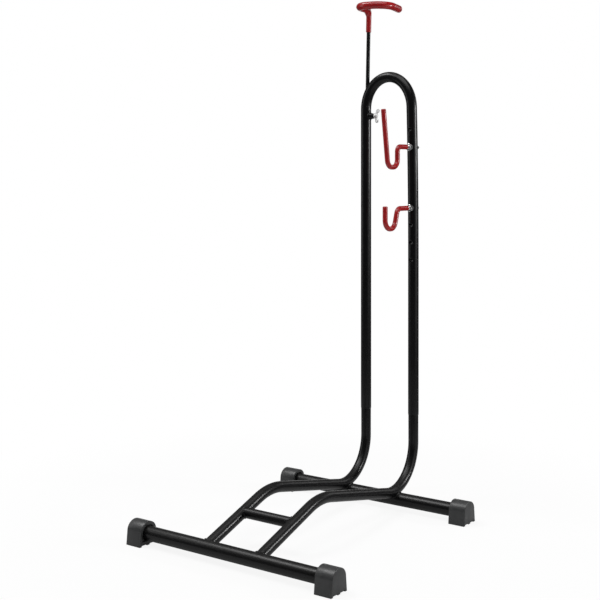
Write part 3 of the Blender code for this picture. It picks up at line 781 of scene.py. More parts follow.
def saddle_line(origin: Vector, along: Vector, radius: float, host_along: Vector,
                host_radius: float, count: int) -> Line:
    """Closed line where a round tube ends on another one, with the direction out of the corner.

    Args:
        origin: Point where the axes of the two tubes meet.
        along: Direction of the tube, out of the host.
        radius: The tube's radius.
        host_along: Direction of the host tube.
        host_radius: The host tube's radius.
        count: Number of points.

    Returns:
        The points, the first one repeated at the end, and the direction at each.
    """
    side = along.orthogonal().normalized()
    other = along.cross(side)
    flat_along = along - host_along * along.dot(host_along)
    a = flat_along.length_squared
    points: Path = []
    outward: list[Vector] = []
    for angle in even_steps(2 * pi, count):
        around = side * cos(angle) + other * sin(angle)
        start = around * radius
        flat_start = start - host_along * start.dot(host_along)
        b = 2 * flat_start.dot(flat_along)
        c = flat_start.length_squared - host_radius ** 2
        reach = (-b + sqrt(max(0.0, b * b - 4 * a * c))) / (2 * a)
        spoke = start + along * reach
        host_normal = (spoke - host_along * spoke.dot(host_along)).normalized()
        points.append(origin + spoke)
        outward.append((around + host_normal).normalized())
    return points, outward


@dataclass(frozen=True)
class Plan:
    """Places that the sub-assemblies share, measured on the model."""

    arm_radius: float
    loop_radius: float
    post_y: float
    left_x: float
    right_x: float
    base_radius: float
    base_height: float
    front_y: float
    rear_y: float
    seam_height: float
    loop_height: float

    @classmethod
    def measured(cls) -> "Plan":
        """Measure the model's nodes."""
        loop_low, loop_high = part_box("upper_loop")
        front_low, front_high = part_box("front_cross_tube")
        rear_low, rear_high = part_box("rear_cross_tube")
        post_y = (loop_low.y + loop_high.y) / 2
        radius = (loop_high.y - loop_low.y) / 2
        return cls(
            arm_radius=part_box("left_arm_tube")[1].y - post_y,
            loop_radius=radius,
            post_y=post_y,
            left_x=loop_low.x + radius,
            right_x=loop_high.x - radius,
            base_radius=(front_high.z - front_low.z) / 2,
            base_height=(front_high.z + front_low.z) / 2,
            front_y=(front_low.y + front_high.y) / 2,
            rear_y=(rear_low.y + rear_high.y) / 2,
            seam_height=loop_low.z,
            loop_height=loop_high.z,
        )

    def side_x(self, side: Side) -> float:
        """X of a side's post at the seam."""
        return self.left_x if side is Side.LEFT else self.right_x


class Stand:
    """Keeps what every sub-assembly needs, and settles their pieces."""

    ripple: float = 0.06
    ripple_pitch: float = 0.0032
    bead_sides: int = 14

    def __init__(self) -> None:
        """Measure the model and make the materials."""
        self.plan = Plan.measured()
        self.wardrobe = Wardrobe()

    def settle(self, piece: bpy.types.Object, body: Body, slot: Slot, *nodes: str) -> None:
        """Dress a piece, hang it on its body, and let it stand for nodes of the model.

        Args:
            piece: The finished piece.
            body: Body that carries it.
            slot: Material slot that it takes its finish from.
            nodes: Nodes that it replaces.
        """
        self.wardrobe.dress(piece, slot)
        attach(piece, body.value)
        if nodes:
            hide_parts(*nodes)
        LOG.info("%s: %d faces on %s", piece.name, len(piece.data.polygons), body.value)

    def lay_bead(self, name: str, line: Line, size: float, body: Body) -> None:
        """Lay a painted bead along a closed line, with the soft ripples of a hand-laid seam.

        Args:
            name: The piece's name.
            line: The bead's root, with the direction out of the corner at each point.
            size: Radius of the bead.
            body: Body that carries it.
        """
        points, outward = line
        run = distances(points)
        waves = max(3, round(run[-1] / self.ripple_pitch))
        radii = [size * (1.0 + self.ripple * cos(2 * pi * waves * d / run[-1])) for d in run]
        shape = sweep(placings(points, outward, closed=True), radii, self.bead_sides, closed=True)
        self.settle(piece_from(shape, name, sharp=60.0), body, Slot.BLACK_PAINT)


@dataclass
class CrossTubes:
    """The two cross tubes near the floor."""

    stand: Stand
    sides: int = 72
    step: float = 0.06
    end_rounding: float = 0.0008

    def build(self) -> None:
        """Build both tubes."""
        plan = self.stand.plan
        for name, node, y in (("front_tube", "front_cross_tube", plan.front_y),
                              ("rear_tube", "rear_cross_tube", plan.rear_y)):
            ends = [Vector((corner.x, y, plan.base_height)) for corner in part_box(node)]
            tube = rod_piece(name, refined(ends, self.step), plan.base_radius, self.sides,
                             self.end_rounding, self.end_rounding)
            self.stand.settle(tube, Body.FRAME, Slot.BLACK_PAINT, node)


@dataclass
class Arms:
    """The two bent arms, from the front tube to the seams of the posts."""

    stand: Stand
    crest_reach: float = 0.229
    crest_height: float = 0.105
    crest_radius: float = 0.165
    heel_radius: float = 0.106
    saddle_depth: float = 0.0094
    crossbar_reach: float = 0.130
    left_front_x: float = -0.0690
    right_front_x: float = 0.0710
    sides: int = 56
    chord: float = 0.004
    crossbar_step: float = 0.04
    lip: float = 0.0009
    weld: float = 0.0024
    crossbar_weld: float = 0.00204
    crossbar_weld_sink: float = 0.985
    front_weld_steps: int = 180
    weld_steps: int = 160

    def line_x(self, side: Side, y: float) -> float:
        """X of an arm's axis at a place along the stand.

        Args:
            side: The arm's side.
            y: Place along the stand.

        Returns:
            X of the axis there.
        """
        plan = self.stand.plan
        front = self.left_front_x if side is Side.LEFT else self.right_front_x
        share = (y - plan.front_y) / (plan.post_y - plan.front_y)
        return front + (plan.side_x(side) - front) * share

    def heel_low(self) -> float:
        """Height of the arms' axis at the lowest point of the heel."""
        plan = self.stand.plan
        return plan.base_height + plan.base_radius + plan.arm_radius - self.saddle_depth

    def path(self, side: Side) -> Path:
        """Path of an arm's axis, from the front tube to the seam.

        Args:
            side: The arm's side.

        Returns:
            The path.
        """
        plan = self.stand.plan
        crest_y = plan.front_y + self.crest_reach
        rise = self.heel_low() + self.heel_radius - self.crest_height
        run = plan.post_y - self.heel_radius - crest_y
        fall = atan2(rise, run) - asin(self.heel_radius / sqrt(rise ** 2 + run ** 2))
        heel_height = self.crest_height + (plan.post_y - crest_y) * tan(fall)
        side_view = [(plan.front_y, plan.base_height), (crest_y, self.crest_height),
                     (plan.post_y, heel_height), (plan.post_y, plan.seam_height)]
        corners = [Vector((self.line_x(side, y), y, z)) for y, z in side_view]
        return route(corners, [self.crest_radius, self.heel_radius], self.chord)

    def rise(self) -> Vector:
        """Direction in which an arm leaves the front tube."""
        height = self.crest_height - self.stand.plan.base_height
        return Vector((0.0, self.crest_reach, height)).normalized()

    def build(self) -> None:
        """Build the arms, their crossbar and the welds."""
        plan = self.stand.plan
        for side in Side:
            arm = rod_piece(f"{side.value}_arm", self.path(side), plan.arm_radius, self.sides,
                            end=self.lip)
            self.stand.settle(arm, Body.FRAME, Slot.BLACK_PAINT, f"{side.value}_arm_tube")
            for weld, line in (("front", self.front_line(side)), ("heel", self.heel_line(side))):
                self.stand.lay_bead(f"{side.value}_{weld}_weld", line, self.weld, Body.FRAME)
        self.crossbar()

    def front_line(self, side: Side) -> Line:
        """Line where an arm ends on the front tube.

        Args:
            side: The arm's side.

        Returns:
            The weld's line.
        """
        plan = self.stand.plan
        axis = Vector((self.line_x(side, plan.front_y), plan.front_y, plan.base_height))
        return saddle_line(axis, self.rise(), plan.arm_radius, ALONG_X, plan.base_radius,
                           self.front_weld_steps)

    def heel_line(self, side: Side) -> Line:
        """Line where an arm's heel lies in the rear tube that it crosses.

        Args:
            side: The arm's side.

        Returns:
            The weld's line.
        """
        plan = self.stand.plan
        past = plan.rear_y - (plan.post_y - self.heel_radius)
        drop = sqrt(self.heel_radius ** 2 - past ** 2)
        host = Vector((self.line_x(side, plan.rear_y), plan.rear_y, plan.base_height))
        centre = Vector((host.x, host.y, self.heel_low() + self.heel_radius - drop))
        along = Vector((0.0, 1.0, past / drop)).normalized()
        up = Vector((0.0, -along.z, along.y))
        level = (centre - host).dot(up)
        shift = (centre - host).dot(along)
        widest = acos((level - plan.base_radius) / plan.arm_radius)
        points: Path = []
        outward: list[Vector] = []
        for angle in even_steps(2 * pi, self.weld_steps):
            around = widest * sin(angle)
            spoke = ALONG_X * sin(around) - up * cos(around)
            offset = spoke * plan.arm_radius
            rise = (centre + offset - host).dot(up)
            reach = sqrt(max(0.0, plan.base_radius ** 2 - rise ** 2))
            point = centre + offset + along * (reach * (1 if cos(angle) > 0 else -1) - shift)
            normal = point - host
            normal.x = 0.0
            points.append(point)
            outward.append((spoke + normal.normalized()).normalized())
        return points, outward

    def crossbar(self) -> None:
        """Build the crossbar between the arms and its two welds."""
        plan = self.stand.plan
        rise = self.rise()
        height = plan.base_height + self.crossbar_reach * rise.z / rise.y
        y = plan.front_y + self.crossbar_reach
        ends = [Vector((self.line_x(side, y), y, height)) for side in Side]
        low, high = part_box("arm_crossbar")
        radius = (high.y - low.y) / 2
        bar = rod_piece("crossbar", refined(ends, self.crossbar_step), radius, self.sides)
        self.stand.settle(bar, Body.FRAME, Slot.BLACK_PAINT, "arm_crossbar")
        for side, end, inward in zip(Side, ends, (ALONG_X, -ALONG_X)):
            line = saddle_line(end, inward, radius * self.crossbar_weld_sink, rise,
                               plan.arm_radius, self.weld_steps)
            self.stand.lay_bead(f"{side.value}_crossbar_weld", line, self.crossbar_weld,
                                Body.FRAME)


@dataclass
class Feet:
    """The four moulded feet."""

    stand: Stand
    width: float = 0.0558
    shoulder_width: float = 0.0496
    shoulder_height: float = 0.0305
    height: float = 0.0528
    length: float = 0.0424
    wall: float = 0.0072
    recess_depth: float = 0.0050
    recess_floor: float = 0.0098
    rim: float = 0.0065
    rib: float = 0.0080
    groove: float = 0.0024
    outer_edge: float = 0.0021
    outer_steps: int = 5
    inner_edge: float = 0.0006
    inner_steps: int = 3
    arch_steps: int = 40

    def outline(self, inset: float, floor_height: float, grooves: bool) -> list[Span]:
        """Outline across a foot as (across, up) pairs.

        Args:
            inset: Distance inside the outer outline.
            floor_height: Height of the outline's lower edge.
            grooves: Whether the underside's grooves are in the outline.

        Returns:
            The outline, anticlockwise from its lower right corner.
        """
        slope = (self.width - self.shoulder_width) / 2 / self.shoulder_height
        half_floor = self.width / 2 - inset - slope * floor_height
        half_shoulder = self.shoulder_width / 2 - inset
        rise = self.height - self.shoulder_height - inset
        points = [(half_floor, floor_height)]
        for angle in even_steps(pi, self.arch_steps):
            points.append((half_shoulder * cos(angle), self.shoulder_height + rise * sin(angle)))
        points.append((-half_floor, floor_height))
        if grooves:
            near = self.rib / 2
            far = self.width / 2 - self.rim
            deep = floor_height + self.groove
            for first, last in ((-far, -near), (near, far)):
                points += [(first, floor_height), (first, deep), (last, deep),
                           (last, floor_height)]
        return points

    def shell(self) -> Mesh:
        """Outer shape of a foot at the origin, with its outer end towards +X."""
        inner = -self.length / 2
        outline = self.outline(0.0, 0.0, True)
        shape = prism([(inner, across, up) for across, up in outline], (self.length, 0.0, 0.0))
        for end, size, steps in ((-inner, self.outer_edge, self.outer_steps),
                                 (inner, self.inner_edge, self.inner_steps)):
            rim = [edge for edge in shape.edges
                   if all(abs(corner.co.x - end) < SAME_PLACE for corner in edge.verts)]
            soften(shape, rim, size, steps)
        return shape

    def recess(self) -> Mesh:
        """Shape of the recess round the tube, flared at its mouth to leave a rounded lip."""
        shape = bmesh.new()
        inner = -self.length / 2
        soft = self.inner_edge
        stations = [(inner - soft, soft)]
        for turn in even_steps(pi / 2, self.inner_steps):
            stations.append((inner + soft * (1.0 - cos(turn)), soft * (1.0 - sin(turn))))
        stations.append((inner + self.recess_depth, 0.0))
        loops = []
        for x, flare in stations:
            outline = self.outline(self.wall - flare, self.recess_floor - flare, False)
            loops.append(outlined(shape, [(x, across, up) for across, up in outline]))
        for before, after in zip(loops, loops[1:]):
            bmesh.ops.bridge_loops(shape, edges=before + after)
        return closed_up(shape, loops[0], loops[-1])

    def build(self) -> None:
        """Build all four feet."""
        plan = self.stand.plan
        for row, y in (("front", plan.front_y), ("rear", plan.rear_y)):
            for side in Side:
                node = f"foot_{row}_{side.value}"
                low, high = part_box(node)
                turn = 0.0 if side is Side.RIGHT else pi
                middle = Vector(((low.x + high.x) / 2, y, 0.0))
                place = Matrix.Translation(middle) @ Matrix.Rotation(turn, 4, "Z")
                foot = piece_from(self.shell(), f"{row}_{side.value}_foot", place)
                recess = piece_from(self.recess(), f"{node}_recess", place)
                combine(foot, Joining.CUT_OUT, [recess], sharp=32.0)
                self.stand.settle(foot, Body.FRAME, Slot.GREY_PLASTIC, node)


@dataclass
class Loop:
    """The upside-down U of tube with its drilled holes."""

    stand: Stand
    rise: float = 0.082
    lean: float = 0.0048
    lean_start: float = 0.620
    lip: float = 0.0009
    sides: int = 56
    arch_steps: int = 72
    left_step: float = 0.05
    right_step: float = 0.01
    hole_radius: float = 0.0053
    hole_sides: int = 32
    drill_reach: float = 0.020
    hole_rim: float = 0.0005
    hole_rim_sink: float = 0.0002
    hole_rim_steps: int = 48
    spare_pitch: float = 0.044
    spare_above: int = 1
    spare_below: int = 3

    def spring(self) -> float:
        """Height at which the arch begins."""
        plan = self.stand.plan
        return plan.loop_height - plan.loop_radius - self.rise

    def leg_x(self, height: float) -> float:
        """X of the right leg's axis, which leans in towards the arch."""
        share = max(0.0, height - self.lean_start) / (self.spring() - self.lean_start)
        return self.stand.plan.right_x - self.lean * share ** 2

    def path(self) -> Path:
        """Path of the loop's axis, from the left seam over the arch to the right one."""
        plan = self.stand.plan
        spring = self.spring()
        middle = (self.leg_x(spring) + plan.left_x) / 2
        points = refined([Vector((plan.left_x, plan.post_y, plan.seam_height)),
                          Vector((plan.left_x, plan.post_y, spring))], self.left_step)[:-1]
        for angle in even_steps(pi, self.arch_steps):
            points.append(Vector((middle - (middle - plan.left_x) * cos(angle), plan.post_y,
                                  spring + self.rise * sin(angle))))
        right = refined([Vector((0.0, plan.post_y, spring)),
                         Vector((0.0, plan.post_y, plan.seam_height))], self.right_step)
        return points + [Vector((self.leg_x(p.z), p.y, p.z)) for p in right[1:]]

    def holes(self) -> list[Vector]:
        """Middles of the free holes in the right post."""
        upper = joint_place("upper_hook_turn").z
        lower = joint_place("lower_hook_turn").z
        heights = [upper + self.spare_pitch * number for number in range(1, self.spare_above + 1)]
        heights += [lower - self.spare_pitch * number for number in range(1, self.spare_below + 1)]
        return [Vector((self.leg_x(height), self.stand.plan.post_y, height)) for height in heights]

    def build(self) -> None:
        """Build the loop, its holes and their painted rims."""
        radius = self.stand.plan.loop_radius
        loop = rod_piece("loop_tube", self.path(), radius, self.sides, self.lip, self.lip)
        reach = Vector((0.0, self.drill_reach, 0.0))
        drills = [rod_piece("drill", [hole - reach, hole + reach], self.hole_radius,
                            self.hole_sides) for hole in self.holes()]
        combine(loop, Joining.CUT_OUT, drills, sharp=40.0)
        self.stand.settle(loop, Body.LOOP, Slot.BLACK_PAINT, "upper_loop")
        for number, hole in enumerate(self.holes()):
            for label, way in (("front", -1.0), ("back", 1.0)):
                line = saddle_line(hole, Vector((0.0, way, 0.0)), self.hole_radius, UP,
                                   radius - self.hole_rim_sink, self.hole_rim_steps)
                self.stand.lay_bead(f"hole_rim_{number}_{label}", line, self.hole_rim, Body.LOOP)


@dataclass
class Clamp:
    """The boss on the left post and its wing bolt.

    CONE and HUB give rings from the outer end inwards, with their radius and their height over
    the boss's mouth. STEM_BELOW and STEM_ABOVE give a wing's outline before and after its lobe.
    """

    CONE: ClassVar[tuple[Span, ...]] = ((0.00625, -0.0020), (0.0065625, -0.0028),
                                        (0.00837, -0.010496), (0.0090, -0.01216))
    HUB: ClassVar[tuple[Span, ...]] = ((0.0015, 0.0093), (0.00273, 0.0091), (0.003575, 0.0087),
                                       (0.004095, 0.0079), (0.0052, 0.00546),
                                       (0.006045, 0.002275), (0.0065, 0.0013),
                                       (0.006305, 0.0005), (0.00598, 0.0003), (0.004, 0.0003))
    STEM_BELOW: ClassVar[tuple[Span, ...]] = ((0.002925, 0.001408), (0.006175, 0.00176),
                                              (0.01053, 0.003654))
    STEM_ABOVE: ClassVar[tuple[Span, ...]] = ((0.0081, 0.009396), (0.002925, 0.008448))

    stand: Stand
    base_radius: float = 0.0090
    tip_radius: float = 0.00625
    length: float = 0.0128
    sink: float = 0.0004
    bore_depth: float = 0.004
    soft: float = 0.0006
    boss_sides: int = 64
    hub_sides: int = 48
    lobe: float = 0.0051
    lobe_middle: Span = (0.0135, 0.0087)
    lobe_start: float = radians(-75.0)
    lobe_turn: float = radians(216.0)
    lobe_steps: int = 9
    thickness: float = 0.0032
    wing_rounding: float = 0.001216
    wing_rounding_steps: int = 4
    turn: float = radians(-11.0)
    thread_radius: float = 0.004
    thread_chamfer: float = 0.001
    gap: float = 0.0003
    weld: float = 0.0014
    weld_steps: int = 120

    def place(self) -> Matrix:
        """Place of the boss's mouth, with Z out of the post."""
        return Matrix.Translation(joint_place("clamp_turn")) @ Matrix.Rotation(pi / 2, 4, "Y")

    def build(self) -> None:
        """Build the boss, its weld and the bolt."""
        self.boss()
        self.bolt()

    def boss(self) -> None:
        """Conical boss whose base follows the post, and its weld."""
        plan = self.stand.plan
        post = plan.loop_radius

        def seat(angle: float) -> Span:
            """Radius and height of the base where it lies in the post's surface."""
            reach = self.base_radius * sin(angle)
            return self.base_radius, sqrt(post ** 2 - reach ** 2) - post - self.length - self.sink

        bore = self.thread_radius + self.gap
        rings = [(bore, -self.bore_depth), (bore, -self.soft), (bore + self.soft, 0.0)]
        rings += [*lip(self.tip_radius, 0.0, self.soft, steps=3), *self.CONE, seat]
        boss = piece_from(polar_form(rings, self.boss_sides), "boss", self.place(), sharp=50.0)
        self.stand.settle(boss, Body.LOOP, Slot.BLACK_PAINT, "clamp_boss")
        axis = Vector((plan.left_x, plan.post_y, joint_place("clamp_turn").z))
        line = saddle_line(axis, ALONG_X, self.base_radius, UP, post, self.weld_steps)
        self.stand.lay_bead("boss_weld", line, self.weld, Body.LOOP)

    def bolt(self) -> None:
        """Wing bolt: hub, shank and two wings as one casting."""
        thread = self.thread_radius
        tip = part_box("wing_bolt")[0].x - joint_place("clamp_turn").x
        shank = [(thread, tip + self.thread_chamfer), (thread - self.thread_chamfer, tip)]
        bolt = piece_from(polar_form([*self.HUB, *shank], self.hub_sides), "wing_screw")
        combine(bolt, Joining.MERGE, [self.wing(side) for side in (-1, 1)], sharp=40.0)
        bolt.data.transform(self.place() @ Matrix.Rotation(self.turn, 4, "Z"))
        self.stand.settle(bolt, Body.CLAMP_BOLT, Slot.ZINC, "wing_bolt")
        bolt.data.materials[0] = self.stand.wardrobe.casting

    def wing(self, side: int) -> bpy.types.Object:
        """One wing: a thick lobe on a narrower stem, rounded all over.

        Args:
            side: +1 or -1 for its side along X.

        Returns:
            The wing as a closed object.
        """
        across, along = self.lobe_middle
        outline = list(self.STEM_BELOW)
        for turn in even_steps(self.lobe_turn, self.lobe_steps):
            angle = self.lobe_start + turn
            outline.append((across + self.lobe * cos(angle), along + self.lobe * sin(angle)))
        outline += self.STEM_ABOVE
        shape = prism([(side * x, -self.thickness / 2, z) for x, z in outline],
                      (0.0, self.thickness, 0.0))
        rims = [edge for edge in shape.edges if edge.calc_face_angle(0.0) > radians(60.0)
                and abs(edge.verts[0].co.y - edge.verts[1].co.y) < SAME_PLACE]
        soften(shape, rims, self.wing_rounding, self.wing_rounding_steps)
        return piece_from(shape, f"wing_{side}")


@dataclass
class Mast:
    """The mast rod, its top hook and the hook's cover."""

    ROLL: ClassVar[tuple[Span, ...]] = ((0.0, 0.0009), (0.0004, 0.0003), (0.0012, 0.0))

    stand: Stand
    hook_height: float = 1.2562
    leg: float = 0.080
    width: float = 0.092
    tip: float = 0.0977
    bend: float = 0.020
    corner: float = 0.037
    chord: float = 0.0016
    swivel: float = radians(6.0)
    splay: float = radians(8.0)
    radius: float = 0.005
    sides: int = 36
    foot_rounding: float = 0.0008
    bottom: float = 0.845
    cover_radius: float = 0.0096
    cover_neck: float = 0.0068
    cover_start: float = 1.198
    cover_end: float = 0.0048
    cover_rounding: float = 0.0050
    cover_rounding_steps: int = 8
    cover_step: float = 0.004
    cover_sides: int = 44

    def axis(self) -> Vector:
        """Direction of the mast."""
        return Vector(joint_of("mast_turn")["axis"]).normalized()

    def at(self, height: float) -> Vector:
        """Point of the mast's axis at a height over the floor."""
        base = joint_place("mast_turn")
        return base + self.axis() * ((height - base.z) / self.axis().z)

    def path(self, start: float) -> Path:
        """Path of the mast and its hook.

        Args:
            start: Height at which it starts.

        Returns:
            The path, up the mast and round the hook to its tip.
        """
        axis = self.axis()
        side = Vector((axis.z, 0.0, -axis.x))
        back = axis.cross(side)
        splay = self.swivel + self.splay
        top = self.at(self.hook_height)
        front = top + self.leg * (side * sin(self.swivel) - back * cos(self.swivel))
        far = front + self.width * (side * cos(self.swivel) + back * sin(self.swivel))
        tip = far + self.tip * (back * cos(splay) - side * sin(splay))
        corners = [self.at(start), top, front, far, tip]
        return route(corners, [self.bend, self.corner, self.corner], self.chord)

    def build(self) -> None:
        """Build the rod and the cover."""
        rod = rod_piece("mast", shortened(self.path(self.bottom), self.cover_end), self.radius,
                        self.sides, self.foot_rounding)
        self.stand.settle(rod, Body.MAST, Slot.BLACK_PAINT, "mast_rod")
        rod.data.materials[0] = self.stand.wardrobe.rod_paint
        self.cover()

    def cover(self) -> None:
        """Dipped cover, slim on the mast and full past its bend, with a soft end.

        Its start is rolled over: ROLL gives the distance from there and the cut in radius.
        """
        skin = refined(self.path(self.cover_start), self.cover_step)
        stations, radii = rounded_ends(skin, self.cover_radius, 0.0, self.cover_rounding,
                                       self.cover_rounding_steps)
        slim = self.cover_neck / self.cover_radius
        bend_start = self.hook_height - self.bend
        sized = []
        for point, radius in zip(stations, radii):
            share = max(0.0, min(1.0, (point.z - bend_start) / self.bend))
            sized.append(radius * (slim + (1.0 - slim) * (1.0 - cos(pi * share)) / 2))
        along = (stations[1] - stations[0]).normalized()
        stations = [stations[0] + along * far for far, _ in self.ROLL] + stations[1:]
        sized = [sized[0] - cut for _, cut in self.ROLL] + sized[1:]
        shape = sweep(placings(stations), sized, self.cover_sides)
        cover = piece_from(shape, "top_hook_grip", sharp=60.0)
        self.stand.settle(cover, Body.MAST, Slot.RED_VINYL, "top_hook_cover")


@dataclass
class JHook:
    """A covered J hook with the nuts and the saddle of its bolt.

    SEAT gives the rings of a seat on the post, as shares of its rim.
    """

    SEAT: ClassVar[tuple[float, ...]] = (1.0, 0.85, 0.7)

    stand: Stand
    name: str
    body: Body
    neck: float
    heel: float
    seat: float
    depth: float
    tip: float
    rise: float
    neck_radius: float
    seat_radius: float
    tail: float
    chord: float = 0.0014
    rod_radius: float = 0.005
    rod_sides: int = 36
    tail_rounding: float = 0.0009
    cover_radius: float = 0.0062
    cover_start_rounding: float = 0.0012
    cover_end_rounding: float = 0.0023
    cover_end: float = 0.0048
    cover_step: float = 0.004
    cover_sides: int = 40
    gap: float = 0.0003
    saddle_crown: float = 0.0010
    saddle_radius: float = 0.0084
    seat_soft_share: float = 0.45
    seat_sides: int = 72
    nut_flats: float = 0.017
    nut_height: float = 0.0050
    nut_soft: float = 0.0007
    nut_flat_share: float = 0.94
    nut_chamfer: float = radians(30.0)
    nut_sides: int = 96
    bare_thread: float = 0.0100
    flange_crown: float = 0.0020
    flange_radius: float = 0.00775
    thread_pitch: float = 0.0015
    thread_height: float = 0.0006
    thread_root: float = 0.0005
    thread_fade: float = 0.15
    thread_reach: float = 0.5
    thread_overlap: float = 0.002
    thread_steps: int = 36
    thread_sides: int = 4

    def place(self) -> Matrix:
        """Place of the bolt's axis on the post's axis."""
        return Matrix.Translation(joint_place(f"{self.name}_turn"))

    def nut_start(self) -> float:
        """Distance from the post's axis to the front nut's inner face."""
        return self.stand.plan.loop_radius + self.saddle_crown + 2 * self.gap

    def cover_start(self) -> float:
        """Distance from the post's axis to the cover."""
        return self.nut_start() + self.nut_height + self.bare_thread

    def path(self, start: float) -> Path:
        """Path of the hook from a reach on its bolt's axis.

        Args:
            start: The reach, out of the post towards the bike.

        Returns:
            The path to the hook's tip.
        """
        side_view = [(start, 0.0), (self.neck, 0.0), (self.heel, -self.depth),
                     (self.seat, -self.depth), (self.tip, self.rise)]
        corners = [Vector((0.0, -reach, height)) for reach, height in side_view]
        return route(corners, [self.neck_radius, self.seat_radius, self.seat_radius], self.chord)

    def build(self) -> None:
        """Build the rod, the cover, the threads and the fasteners."""
        post = self.stand.plan.loop_radius
        back_end = post + self.gap + self.flange_crown + self.tail
        rod = rod_piece(f"{self.name}_steel", shortened(self.path(-back_end), self.cover_end),
                        self.rod_radius - self.thread_root, self.rod_sides, self.tail_rounding)
        rod.data.transform(self.place())
        self.stand.settle(rod, self.body, Slot.ZINC, f"{self.name}_rod")
        inside = post * self.thread_reach
        self.thread("back", inside, back_end - self.thread_height)
        self.thread("front", -self.cover_start() - self.thread_overlap, -inside)
        self.cover()
        front = Matrix.Rotation(pi / 2, 4, "X")
        back = Matrix.Rotation(-pi / 2, 4, "X")
        self.seat_ring("front_seat", front, self.saddle_radius, self.saddle_crown,
                       Slot.BLACK_PLASTIC, "front_saddle")
        self.seat_ring("back_flange", back, self.flange_radius, self.flange_crown,
                       Slot.BLACK_PAINT, "back_nut")
        self.nut(front)

    def thread(self, label: str, start: float, end: float) -> None:
        """Thread ridge on the bolt, which fades in and out over half a turn.

        Args:
            label: Which end of the bolt it is on, for the piece's name.
            start: Its first place along Y.
            end: Its last place along Y.
        """
        length = end - start
        turns = length / self.thread_pitch
        points: Path = []
        outward: list[Vector] = []
        radii: list[float] = []
        for share in even_steps(1.0, ceil(turns * self.thread_steps)):
            angle = 2 * pi * turns * share
            spoke = Vector((cos(angle), 0.0, sin(angle)))
            height = Vector((0.0, start + length * share, 0.0))
            points.append(spoke * (self.rod_radius - self.thread_height) + height)
            outward.append(spoke)
            fade = min(1.0, share * turns * 2, (1.0 - share) * turns * 2)
            radii.append(self.thread_height * max(self.thread_fade, fade))
        ridge = piece_from(sweep(placings(points, outward), radii, self.thread_sides),
                           f"{self.name}_{label}_thread", self.place(), sharp=80.0)
        self.stand.settle(ridge, self.body, Slot.ZINC)

    def cover(self) -> None:
        """Dipped cover with a rolled start and a soft end."""
        skin = refined(self.path(self.cover_start()), self.cover_step)
        stations, radii = rounded_ends(skin, self.cover_radius, self.cover_start_rounding,
                                       self.cover_end_rounding)
        shape = sweep(placings(stations), radii, self.cover_sides)
        cover = piece_from(shape, f"{self.name}_grip", self.place(), sharp=60.0)
        self.stand.settle(cover, self.body, Slot.RED_VINYL, f"{self.name}_cover")

    def seat_ring(self, label: str, turn: Matrix, rim: float, crown: float, slot: Slot,
                  node: str) -> None:
        """Round plate that wraps the post and is flat on its outer side.

        Args:
            label: Last part of the piece's name.
            turn: Turn that points Z out of the post.
            rim: Radius of its rim.
            crown: Its thickness over the post's crown.
            slot: Material slot of its finish.
            node: Last part of the name of the node that it replaces.
        """
        post = self.stand.plan.loop_radius + self.gap
        bore = self.rod_radius + self.gap
        top = post + crown

        def seat(radius: float, angle: float) -> Span:
            """Radius and height of a ring on the post's surface."""
            return radius, sqrt(post ** 2 - (radius * cos(angle)) ** 2)

        edge = lip(rim, top, crown * self.seat_soft_share, steps=4)
        rings = [partial(seat, bore), (bore, top), *edge]
        rings += [partial(seat, rim * share) for share in self.SEAT]
        ring = piece_from(polar_form(rings, self.seat_sides, closed=True),
                          f"{self.name}_{label}", self.place() @ turn)
        self.stand.settle(ring, Body.LOOP, slot, f"{self.name}_{node}")

    def nut(self, turn: Matrix) -> None:
        """Hexagon nut whose corners are chamfered by a cone on both faces.

        Args:
            turn: Turn that points Z out of the post.
        """
        bore = self.rod_radius + self.gap
        half = self.nut_flats / 2
        height = self.nut_height
        flat = half * self.nut_flat_share
        soft = self.nut_soft

        def corner(top: bool, angle: float) -> Span:
            """Edge where the cone cuts the hexagon.

            Args:
                top: Whether it is the outer face's edge.
                angle: Angle about the bolt.

            Returns:
                The edge's radius and height there.
            """
            sector = pi / 3
            radius = half / cos((angle + sector / 2) % sector - sector / 2)
            drop = max(0.0, radius - flat) * tan(self.nut_chamfer)
            return radius, (height - drop) if top else drop

        rings = [(bore, soft), (bore, height - soft), (bore + soft, height), (flat, height),
                 partial(corner, True), partial(corner, False), (flat, 0.0), (bore + soft, 0.0)]
        place = self.place() @ turn @ Matrix.Translation((0.0, 0.0, self.nut_start()))
        nut = piece_from(polar_form(rings, self.nut_sides, closed=True),
                         f"{self.name}_front_hex", place, sharp=25.0)
        self.stand.settle(nut, self.body, Slot.ZINC, f"{self.name}_front_nut")


@dataclass
class HiddenParts:
    """Pieces inside the tubes, which keep the model's own shapes."""

    SLOTS: ClassVar[dict[str, Slot]] = {
        "left_joint_sleeve": Slot.BARE_STEEL,
        "right_joint_sleeve": Slot.BARE_STEEL,
        "mast_bush": Slot.BLACK_PLASTIC,
    }

    stand: Stand

    def dress(self) -> None:
        """Give each hidden piece its finish."""
        for node, slot in self.SLOTS.items():
            self.stand.wardrobe.dress(frame["nodes"][node], slot)
            LOG.info("%s: dressed", node)


@dataclass(frozen=True)
class SoftBox:
    """Rectangular lamp that faces a point, with its power in watts."""

    name: str
    place: Place
    target: Place
    size: Span
    power: float

    def build(self) -> None:
        """Hang the lamp."""
        data = bpy.data.lights.new(self.name, "AREA")
        data.shape = "RECTANGLE"
        data.size, data.size_y = self.size
        data.energy = self.power
        lamp = bpy.data.objects.new(self.name, data)
        lamp.location = self.place
        aim = Vector(self.target) - Vector(self.place)
        lamp.rotation_euler = aim.to_track_quat("-Z", "Y").to_euler()
        bpy.context.scene.collection.objects.link(lamp)


